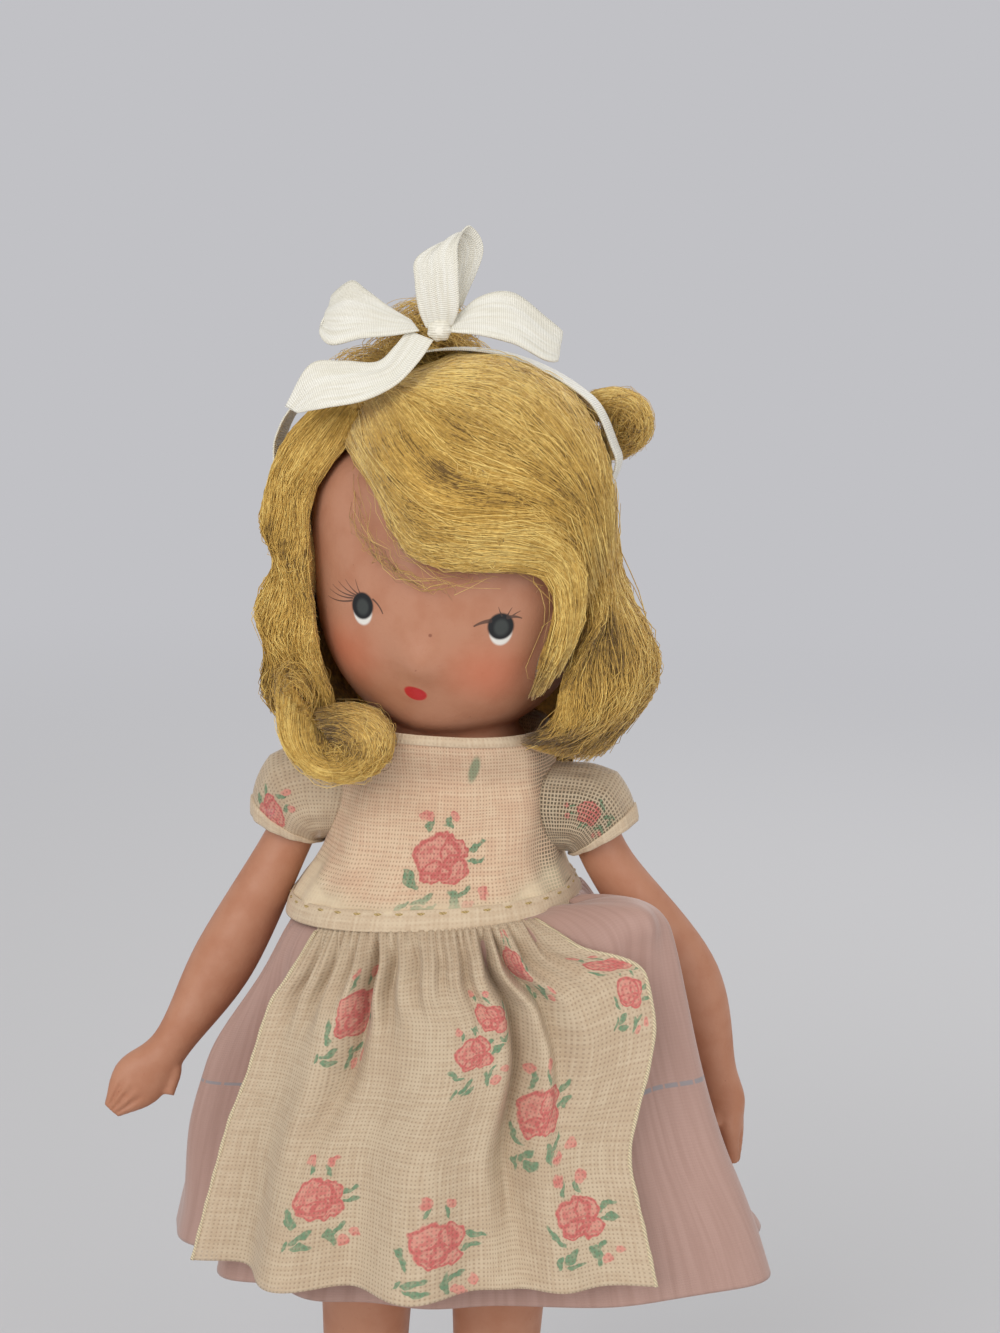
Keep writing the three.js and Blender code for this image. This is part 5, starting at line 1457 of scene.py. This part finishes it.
def strand_set(surface, count, spread, tone, frizz=0.2, steps=11, radius=0.043, clumps=60, lift=0.0,
               hollow=None, edges=0.6):
    """Strands over a lock: spread gives the shares that each starts and ends at along the lock."""
    share = rng.uniform(0, 1, count)
    u = lerp(share, 0.5 - 0.5 * np.cos(np.pi * share), edges)
    beside = 1 - smoothstep(np.minimum(u, 1 - u), 0.0, 0.16)
    deep = rng.uniform(0, 1, count) ** lerp(2.0, 0.8, beside)
    w = 1 - lerp(0.6, 1.0, beside) * deep + lift * rng.uniform(0, 1, count)
    starts = rng.uniform(*spread[0], count)
    ends = rng.uniform(*spread[1], count)
    t = np.linspace(0, 1, steps)
    v = lerp(starts[:, None], ends[:, None], t[None])
    clump = np.round(u * clumps)
    gathered = lerp(u, clump / clumps, 0.35)
    sway = np.sin(2 * np.pi * drawn_waves(t, (0.6, 2.2), 1, count))
    points = surface(np.clip(gathered[:, None] + 0.014 * sway, 0, 1), v, np.broadcast_to(w[:, None], v.shape))
    waves = [np.sin(drawn_waves(t, (5, 22), 6.3, count)) for _ in range(3)]
    points = points + frizz * (0.3 + 0.7 * t[None, :, None]) * np.stack(waves, -1)
    taper = np.sqrt(np.maximum(0.1, 1 - (2 * np.clip(t, 0.04, 0.96) - 1) ** 6))
    thickness = radius * rng.uniform(0.7, 1.3, count)[:, None] * taper[None]
    bunch = 0.1 * np.sin(2.4 * clump) + 0.08 * np.sin(0.7 * clump + 1)
    # Strands that lie deeper in the lock are darker: painted shade.
    shade = tone + 0.13 * rng.standard_normal(count) + bunch + 0.3 * (w - 0.85)
    shade = shade[:, None] + np.zeros_like(v)
    # The hollow function darkens strands with painted shade and lightens some with painted highlight.
    if hollow is not None:
        shade = shade - hollow(u[:, None], v)
    return points, thickness, shade


def loop_set(centre, count, radii, squeeze, loose, size=0.036, tone=0.54):
    """Loops of loose hair round a centre, seen mostly from the front."""
    t = np.linspace(0, 1, 13)
    axis = unit(TOWARDS_BACK + loose * rng.standard_normal((count, 3)))
    start = unit(np.cross(axis, rng.standard_normal((count, 3))))
    turn = np.cross(axis, start)
    angle = rng.uniform(1.6, 4.2, count)[:, None] * t[None]
    reach = rng.uniform(*radii, count)[:, None]
    radius = reach * (1 + 0.12 * np.sin(5 * t[None] + rng.uniform(0, 6, count)[:, None]))
    arc = start[:, None] * np.cos(angle)[..., None] + turn[:, None] * np.sin(angle)[..., None]
    depth = rng.uniform(-1, 1, count)[:, None, None] * np.array([0.0, 2.6, 0.0])
    points = centre + arc * radius[..., None] * squeeze + depth
    shade = tone + 0.16 * rng.standard_normal(count)
    return points, np.full((count, len(t)), size), np.repeat(shade[:, None], len(t), axis=1)


# Dark tone of each lock's inner body: painted shade that shows between the strands.
MASS_PAINTED_SHADE_TONE = 0.28


def hair_mass(surface, columns, rows, start=0.1):
    """Inner body of a lock, under its strands: points, quads and triangles."""
    u, v = np.meshgrid(np.linspace(start, 0.9, columns + 1), np.linspace(0, 1, rows + 1), indexing="ij")
    outer = surface(u, v, np.full_like(u, 0.7))
    inner = surface(u, v, np.zeros_like(u))
    points, quads, _ = loft(np.concatenate([outer, inner[:, ::-1]], axis=1))
    count = 2 * (rows + 1)
    j = np.arange(rows)
    near = np.stack([j, count - 1 - j, count - 2 - j, j + 1], -1)
    far = near[:, ::-1] + columns * count
    return points[:-2], np.vstack([quads, near, far]), np.zeros((0, 3), int)


def make_hair(name, stands_for, material, sets, mass=None, guide=None):
    """One lock: its inner body and its strands in one piece."""
    bodies, tones = [], []
    if mass is not None:
        bodies.append(mass)
        tones.append(np.full(len(mass[0]), MASS_PAINTED_SHADE_TONE))
    for points, thickness, shade in sets:
        bodies.append(tubes(points, thickness, 3, points - HEAD_CENTRE if guide is None else guide))
        tones.append(np.repeat(shade.ravel(), 3))
    obj = new_object(name, *joined(bodies), tone=np.concatenate(tones))
    return dress(obj, material, stands_for=stands_for)


# Painted shade and highlight of the front sweep: how much darker (below nothing is a painted highlight), then
# place and spread across and along it
FRONT_PAINTED_SHADE = [
    (0.58, 0.54, 0.09, 0.46, 0.1), (0.26, 0.6, 0.06, 0.66, 0.14), (0.2, 0.8, 0.08, 0.4, 0.07),
    (0.22, 0.35, 0.16, 0.75, 0.14), (-0.16, 0.18, 0.16, 0.36, 0.2), (-0.14, 0.86, 0.08, 0.57, 0.2),
]


def front_painted_shade_and_highlight(u, v):
    """Painted shade in the valley of the front wave, and painted highlight on the crown and along the ridge.
    """
    return sum(
        dark * bell(u, across, wide) * bell(v, down, tall)
        for dark, across, wide, down, tall in FRONT_PAINTED_SHADE
    )


def wave_painted_shade(u, v):
    """Painted shade: darker hair where a wave turns in."""
    return 0.34 * np.maximum(0, np.sin(2 * np.pi * (2.2 * v + 0.7 * u + 0.1))) ** 2 * smoothstep(v, 0.3, 0.55)


def side_painted_shade(u, v):
    """The same painted shade on the doll's left, with painted shade in the gap behind the lock beside the
    face and in another under it.
    """
    gap = 0.5 * bell(u, 0.16, 0.14) * bell(v, 0.56, 0.09)
    return wave_painted_shade(u, v) + gap + 0.45 * bell(u, 0.05, 0.2) * smoothstep(v, 0.75, 0.95)


def curl_painted_shade_and_highlight(u, v):
    """A curl is darker inside, painted shade, and lightest along its lower edge, a painted highlight."""
    inside = 0.3 * (1 - smoothstep(u, 0.15, 0.6)) + 0.26 * smoothstep(v, 0.7, 0.95)
    return inside - 0.16 * bell(v, 0.42, 0.2) * smoothstep(u, 0.4, 0.7)


# Shares at which strands start and end along a lock: from end to end, or broken
WHOLE = ((0, 0.1), (0.8, 1.0))
BROKEN = ((0, 0.6), (0.5, 1.0))
LOOSE = {"lift": 0.15}


def make_wig(materials):
    mohair = materials["mohair"]
    guides = (BAND_STRAND, CROWN_STRAND, VALLEY_STRAND, RIDGE_STRAND, BROW_STRAND)
    front = fan([head_strand(row) for row in guides], to_scalp)
    edge = fan([head_strand(row) for row in (BROW_STRAND, *WISP_STRANDS)], to_scalp)
    make_hair("front_sweep_hair", ["front_wave"], mohair, [
        strand_set(front, 5100, WHOLE, 0.6, 0.17, steps=10, clumps=80, hollow=front_painted_shade_and_highlight, edges=0.1),
        strand_set(front, 1000, BROKEN, 0.68, 0.32, steps=10, hollow=front_painted_shade_and_highlight, edges=0.1),
        strand_set(front, 120, BROKEN, 0.7, 0.5, **LOOSE),
        strand_set(edge, 34, BROKEN, 0.52, 0.7, radius=0.022, clumps=400),
    ], hair_mass(front, 48, 60, 0.03))
    make_hair("crown_hair_dome", ["crown_hair"], mohair, [
        strand_set(crown_dome, 1500, ((0.1, 0.3), (0.8, 1.1)), 0.56, 0.3),
    ], hair_mass(crown_dome, 48, 8))
    make_hair("crown_tuft_hair", [], mohair, [
        loop_set(TUFT_CENTRE, 420, (0.8, 3.4), [1.3, 0.9, 0.9], 0.9, 0.026),
        loop_set(TUFT_CENTRE - np.array([0.0, 0.0, 2.6]), 620, (0.8, 4.2), [1.4, 1.2, 0.7], 0.9),
        loop_set(TUFT_CENTRE + np.array([-4.6, -2.4, -3.6]), 260, (0.6, 2.4), [1.6, 0.9, 0.8], 0.9, 0.026),
    ], guide=TOWARDS_BACK)
    right = fan(RIGHT_LOCK, towards_neck(4.4), 0.6, 4.2)
    left = fan(LEFT_WAVES, towards_neck(4.6), 0.85, 2.6)
    back = fan([back_strand(degrees) for degrees in BACK_DEGREES], towards_neck(4.4), 0.45, 3.0)
    on_waves = {"hollow": wave_painted_shade}
    on_side = {"hollow": side_painted_shade}
    for name, node, lock, mass, sets in (
        ("right_lock_hair", "right_side_lock", right, (48, 50, 0.075), [
            (4200, WHOLE, 0.56, 0.36, on_waves), (1200, BROKEN, 0.6, 0.5, {}),
            (110, BROKEN, 0.6, 0.7, LOOSE),
        ]),
        ("left_waves_hair", "left_side_waves", left, (40, 50), [
            (3900, WHOLE, 0.6, 0.4, on_side), (1200, BROKEN, 0.62, 0.55, on_side),
            (120, BROKEN, 0.6, 0.7, LOOSE),
        ]),
        ("back_fall_hair", "back_hair", back, (60, 50), [
            (4300, WHOLE, 0.56, 0.28, {"clumps": 90, **on_waves}), (900, BROKEN, 0.6, 0.5, {"clumps": 90}),
        ]),
    ):
        strands = [strand_set(lock, *values, **more) for *values, more in sets]
        make_hair(name, [node], mohair, strands, hair_mass(lock, *mass))
    for name, node, line, centre, layers, count, fuzz in (
        ("shoulder_curl_hair", "right_curl", CURL_LINE, CURL_CENTRE, CURL_LAYERS, 2600, (-12.4, -9.6, 96.2)),
        ("back_puff_hair", "back_puff", PUFF_LINE, PUFF_CENTRE, PUFF_LAYERS, 1200, (14.6, 6.4, 120.2)),
    ):
        curl = fan([curl_strand(line, centre, layer) for layer in layers], behind(3.2))
        make_hair(name, [node], mohair, [
            strand_set(curl, count, WHOLE, 0.62, 0.16, steps=20, clumps=40, hollow=curl_painted_shade_and_highlight),
            strand_set(curl, count // 4, BROKEN, 0.62, 0.35, steps=16, hollow=curl_painted_shade_and_highlight),
            strand_set(curl, 90, BROKEN, 0.6, 0.7, steps=16, lift=0.3, radius=0.028),
            # The fuzz loops take a darker tone than other loose hair: painted shade in the notch where they
            # sit.
            loop_set(np.array(fuzz), 260, (0.6, 2.6), [0.9, 1.0, 1.3], 0.9, 0.026, 0.4),
        ], hair_mass(curl, 24, 50, 0.02), TOWARDS_BACK)


def make_cap(materials):
    """Net cap that the hair is sewn to."""
    def surface(u, v):
        around = 360 * u
        edge = lerp(1.05, 0.42, smoothstep(np.cos(np.radians(around)), 0.0, 0.6))
        return to_world(on_head(head_direction(around, 90 * edge * (0.02 + 0.98 * v)), np.full_like(u, 0.75)))
    obj = sheet("wig_cap_net", surface, 120, 40, 0.3, (80.0, 22.0), True)
    dress(obj, materials["net"], stands_for=["wig_cap"])


# Ribbon bow

KNOT = np.array([-1.4, -4.2, 129.0])
SIDEWAYS = np.array([math.cos(math.radians(8)), math.sin(math.radians(8)), 0.0])
BACKWARDS = np.array([-math.sin(math.radians(8)), math.cos(math.radians(8)), 0.0])
UPWARDS = np.array([0.0, 0.0, 1.0])


def from_knot(points):
    """Points given as right, back and up from the knot, seen from the front."""
    return KNOT + np.array(points, float) @ np.array([SIDEWAYS, BACKWARDS, UPWARDS])


# Strips of the bow: piece, solid, length, and its two edges as points from the knot
BOW_STRIPS = [
    ("bow_top_strip", "bow_top_loop", 22.0, [
        (-1.2, -0.6, 0.2), (-1.9, -1.2, 1.8), (-2.3, -1.4, 4.2), (-2.2, -1.0, 6.2), (0.6, 0.6, 7.8),
        (1.4, 1.2, 6.4), (0.6, 0.6, 0.8),
    ], [
        (1.2, -0.6, 0.5), (1.7, -1.2, 2.1), (1.6, -1.4, 5.0), (1.5, -0.8, 7.8), (2.5, 0.4, 9.2),
        (3.7, 1.6, 7.0), (2.0, 0.8, 2.2),
    ]),
    ("bow_right_strip", "bow_right_loop", 26.0, [
        (-1.8, -0.8, -0.1), (-4.2, -1.4, -0.6), (-7.0, -1.8, -1.0), (-9.7, -1.6, -1.7), (-10.8, -0.6, -0.5),
        (-9.5, 0.6, 1.4), (-6.0, 0.8, 0.5), (-2.5, 0.4, 0.1),
    ], [
        (-2.6, -0.2, 0.8), (-4.7, -0.2, 2.0), (-6.7, 0.2, 3.3), (-8.1, 0.6, 4.0), (-9.9, 1.4, 2.5),
        (-8.5, 1.8, 2.8), (-5.4, 1.4, 1.4), (-2.2, 0.6, 0.4),
    ]),
    ("bow_left_strip", "bow_left_loop", 26.0, [
        (0.9, -0.8, -0.1), (3.7, -1.6, -0.3), (6.8, -1.8, -1.0), (9.6, -1.4, -2.4), (10.7, -0.2, -2.5),
        (7.9, 0.8, -1.5), (4.4, 0.8, -0.6), (1.2, 0.4, 0.0),
    ], [
        (1.3, 0.0, 1.1), (3.6, 0.0, 3.1), (6.5, 0.3, 3.5), (9.5, 0.6, 1.4), (11.1, 1.2, 0.0),
        (8.5, 1.8, 1.0), (5.0, 1.5, 1.9), (1.6, 0.6, 0.8),
    ]),
    ("bow_tail_strip", "bow_tail", 16.0, [
        (-0.5, -0.8, -0.9), (-1.7, -2.4, -2.8), (-3.6, -3.6, -4.9), (-6.4, -4.2, -6.4), (-9.8, -4.4, -7.1),
        (-12.4, -3.8, -7.6),
    ], [
        (-2.9, -0.4, -0.1), (-3.9, -1.4, -1.5), (-5.5, -2.4, -3.0), (-8.5, -3.0, -3.0), (-11.4, -3.2, -3.4),
        (-13.5, -3.2, -7.1),
    ]),
]


def strip_surface(front, back):
    """Surface of a ribbon between two edges, lightly creased."""
    def surface(u, v):
        crease = 0.16 * np.sin(4 * np.pi * u + 2 * v) * np.sin(np.pi * v)
        middle = lerp(path(front, v), path(back, v), u[..., None])
        return middle + UPWARDS * crease[..., None]
    return surface


def make_bow(materials):
    """Loose bow of one ribbon: an upright loop, a loop at each side, a tail, a knot and the head's band."""
    for name, node, length, front, back in BOW_STRIPS:
        surface = strip_surface(from_knot(front), from_knot(back))
        obj = sheet(name, surface, 14, 80, 0.16, (RIBBON_WIDTH, length))
        dress(obj, materials["ribbon"], stands_for=[node])
    angle, t = rings(40, -1, 1, 20)
    pinch = np.sqrt(np.maximum(0.1, 1 - t ** 4)) * (1 + 0.06 * np.cos(7 * angle))
    knot = stack(1.1 * pinch * np.cos(angle), 1.5 * t, 1.0 * pinch * np.sin(angle))
    points, quads, triangles = loft(from_knot(knot))
    uv = points[quads.ravel()][:, [0, 2]]
    obj = new_object("bow_knot_wrap", points, quads, triangles, corner_uv=uv)
    dress(obj, materials["ribbon"], stands_for=["bow_knot"])

    def band(u, v):
        tilt = lerp(-74, 62, v)
        hidden = 1.5 * smoothstep(tilt, 30, 48) + 3.6 * smoothstep(tilt, 46, 58)
        over_lock = 1.7 * bell(tilt, -54, 13) - 1.4 * smoothstep(-tilt, 62, 74)
        out = 6.75 - hidden + over_lock
        side = on_head(head_direction(np.where(tilt < 0, -90.0, 90.0), np.abs(tilt)), out)
        side[..., 1] = lerp(-RIBBON_WIDTH / 2, RIBBON_WIDTH / 2, u) + 0.2 * np.sin(9 * v)
        return to_world(side)
    obj = sheet("head_ribbon_strip", band, 12, 120, 0.16, (RIBBON_WIDTH, 56.0))
    dress(obj, materials["ribbon"], stands_for=["ribbon_band"])


# Small hardware

CORD_HALF = 16.3


def brass_material():
    """Worn brass wire."""
    material, nodes, shader = new_material("worn_brass")
    wear = nodes.noise(nodes.place(), 1.6, 4.0)
    nodes.fill(shader, {
        "Base Color": nodes.mix(nodes.fade(wear, 0.4, 0.65), colour(196, 164, 104), colour(134, 104, 62)),
        "Metallic": 1.0,
        "Roughness": nodes.fade(wear, 0.35, 0.7, 0.25, 0.5),
        "Normal": nodes.bump(wear, 0.02, 0.4),
    })
    return material


def elastic_material():
    """Braided elastic cord."""
    material, nodes, shader = new_material("braided_elastic")
    x, _, z = nodes.waves(nodes.place(), BRAID_PITCH)
    braid = nodes.math("SINE", nodes.plus(x, nodes.times(z, 1.5)))
    nodes.fill(shader, {
        "Base Color": nodes.mix(nodes.fade(braid, -0.5, 0.5), colour(196, 186, 164), colour(230, 224, 208)),
        "Roughness": 0.8,
        "Normal": nodes.bump(braid, 0.05, 0.6),
    })
    return material


def make_hardware(materials):
    for name in ("pin_wire", "pin_cap"):
        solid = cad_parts[name]
        solid.data.materials.clear()
        solid.data.materials.append(materials["brass"])
    line = np.linspace(-CORD_HALF, CORD_HALF, 120)
    swell = 0.6 + 0.6 * bell(np.abs(line), CORD_HALF, 0.9) + 0.03 * np.sin(8 * line)
    points, quads, triangles = tubes(stack(line, 0.0, SHOULDER_Z)[None], swell[None], 14)
    obj = new_object("arm_elastic_cord", points, quads, triangles)
    dress(obj, materials["elastic"], stands_for=["arm_elastic"])


# Stage

def put_facing(obj, place, target, roll=0.0):
    """Add a camera or a lamp at a place, facing a target."""
    back = unit(np.array(place, float) - np.array(target, float))
    side = unit(np.cross([0.0, 0.0, 1.0], back))
    matrix = np.eye(4)
    matrix[:3, :3] = np.column_stack([side, np.cross(back, side), back]) @ turned("Z", roll)
    matrix[:3, 3] = np.array(place) * MM
    obj.matrix_world = Matrix(matrix.tolist())
    bpy.context.scene.collection.objects.link(obj)


def add_camera():
    azimuth, elevation = np.radians([CAMERA_AZIMUTH, CAMERA_ELEVATION])
    level = np.cos(elevation)
    back = np.array([np.sin(azimuth) * level, -np.cos(azimuth) * level, np.sin(elevation)])
    data = bpy.data.cameras.new("camera")
    data.lens = CAMERA_LENS
    data.sensor_width = 36.0
    data.clip_start = 0.01
    camera = bpy.data.objects.new("camera", data)
    put_facing(camera, CAMERA_TARGET + back * CAMERA_DISTANCE, CAMERA_TARGET, CAMERA_ROLL)
    bpy.context.scene.camera = camera


BACKGROUND = colour(193, 193, 197)


def add_world():
    """Even light from all round, with a plain pale background for the camera."""
    world = bpy.data.worlds.new("studio")
    bpy.context.scene.world = world
    world.use_nodes = True
    nodes = Nodes(world.node_tree)
    world.node_tree.nodes.clear()
    rays = nodes.add("ShaderNodeLightPath").outputs
    shown = nodes.greatest(*[rays[f"Is {kind} Ray"] for kind in ("Camera", "Glossy", "Transmission")])
    light = nodes.add("ShaderNodeBackground", {"Color": (1.0, 0.99, 0.97, 1.0), "Strength": 0.6})
    plain = nodes.add("ShaderNodeBackground", {"Color": BACKGROUND, "Strength": 1.0})
    both = nodes.add("ShaderNodeMixShader", {0: shown, 1: light.outputs[0], 2: plain.outputs[0]})
    nodes.add("ShaderNodeOutputWorld", {"Surface": both.outputs[0]})


def add_floor():
    """Pale round floor that fades into the background away from the doll."""
    angle, radius = rings(96, 0.001, 4000, 60)
    points = stack(radius * np.cos(angle), radius * np.sin(angle), -0.02).reshape(-1, 3)
    obj = new_object("floor", points, grid_quads(59, 96, True))
    material, nodes, shader = new_material("pale_floor")
    nodes.fill(shader, {"Base Color": colour(200, 200, 203), "Roughness": 0.9})
    far = nodes.fade(nodes.vector("LENGTH", nodes.place()), 150.0, 600.0)
    glow = nodes.add("ShaderNodeEmission", {"Color": BACKGROUND, "Strength": 1.0})
    both = nodes.add("ShaderNodeMixShader", {0: far, 1: shader.outputs[0], 2: glow.outputs[0]})
    nodes.feed(material.node_tree.nodes["Material Output"].inputs["Surface"], both.outputs[0])
    obj.data.materials.append(material)


def add_lamp(name, place, target, size, power):
    data = bpy.data.lights.new(name, "AREA")
    data.size = size * MM
    data.energy = power
    put_facing(bpy.data.objects.new(name, data), place, target)


def add_stage():
    add_camera()
    add_world()
    add_floor()
    add_lamp("key", (-170, -470, 340), (0, 0, 90), 380, 1.45)
    add_lamp("fill", (360, -330, 200), (0, 0, 80), 360, 0.6)
    add_lamp("back", (120, 420, 380), (0, 0, 90), 260, 0.7)
    bpy.context.scene.view_settings.view_transform = "Standard"


# Where the sprigs are printed: across, down, turn, width and height
BODICE_SPOTS = [
    (45.0, 11.1, 0, 1.45, 1.05), (22.0, 6.0, 20, 0.9, 0.9), (64.0, 7.0, -20, 0.9, 0.9),
    (6.0, 9.0, 0, 0.9, 0.9), (78.0, 10.0, 10, 0.9, 0.9),
]
APRON_SPOTS = [
    (12.1, 8.6, 15, 0.75, 1.15), (30.2, 9.2, 0, 0.8, 0.66), (27.8, 12.2, -10, 0.95, 0.73),
    (40.2, 4.8, 0, 0.48, 1.0), (39.2, 18.2, -12, 1.15, 1.05), (48.4, 7.8, 0, 0.7, 0.4),
    (48.3, 10.6, 20, 0.52, 0.62), (14.0, 25.5, 0, 1.2, 0.9), (27.0, 28.5, 10, 1.2, 0.9),
    (44.0, 27.0, 0, 1.1, 0.9),
]
SLEEVE_SPOTS = {
    "right": [(8.8, 8.2, -10, 0.75, 0.78), (21.2, 7.5, 0, 0.8, 0.9)],
    "left": [(21.5, 5.6, 10, 0.53, 0.72), (8.8, 7.0, 0, 0.8, 0.9)],
}

add_stage()
materials = {
    "skin": skin_material(),
    # (60.5, 5.0) is the bodice's strip of painted shade in its gaps.
    "bodice": organdy_material(
        "bodice_organdy", BODICE_SPOTS, 0.7, 15.2, FLESH_THREADS, (60.5, 5.0), (48.7, 2.6),
    ),
    "apron": organdy_material("apron_organdy", APRON_SPOTS, 0.6),
    "right_sleeve": organdy_material("right_sleeve_organdy", SLEEVE_SPOTS["right"], 0.8),
    "left_sleeve": organdy_material("left_sleeve_organdy", SLEEVE_SPOTS["left"], 0.9, shaded_strip=(23.0, 7.0)),
    "band": organdy_material("folded_organdy", [], 0.06),
    "taffeta": taffeta_material(),
    "lawn": lawn_material(),
    "tan_thread": thread_material("tan_thread", (198, 170, 112)),
    "cream_thread": thread_material("cream_thread", (226, 208, 172)),
    "mohair": mohair_material(),
    "net": net_material(),
    "ribbon": ribbon_material(),
    "brass": brass_material(),
    "elastic": elastic_material(),
}
make_body(materials["skin"])
for arm_name in SIDES:
    make_arm(arm_name, materials["skin"])
    make_sleeve(arm_name, materials)
make_bands(make_bodice(materials), materials)
make_skirt(materials)
make_pantaloons(materials)
make_cap(materials)
make_wig(materials)
make_bow(materials)
make_hardware(materials)
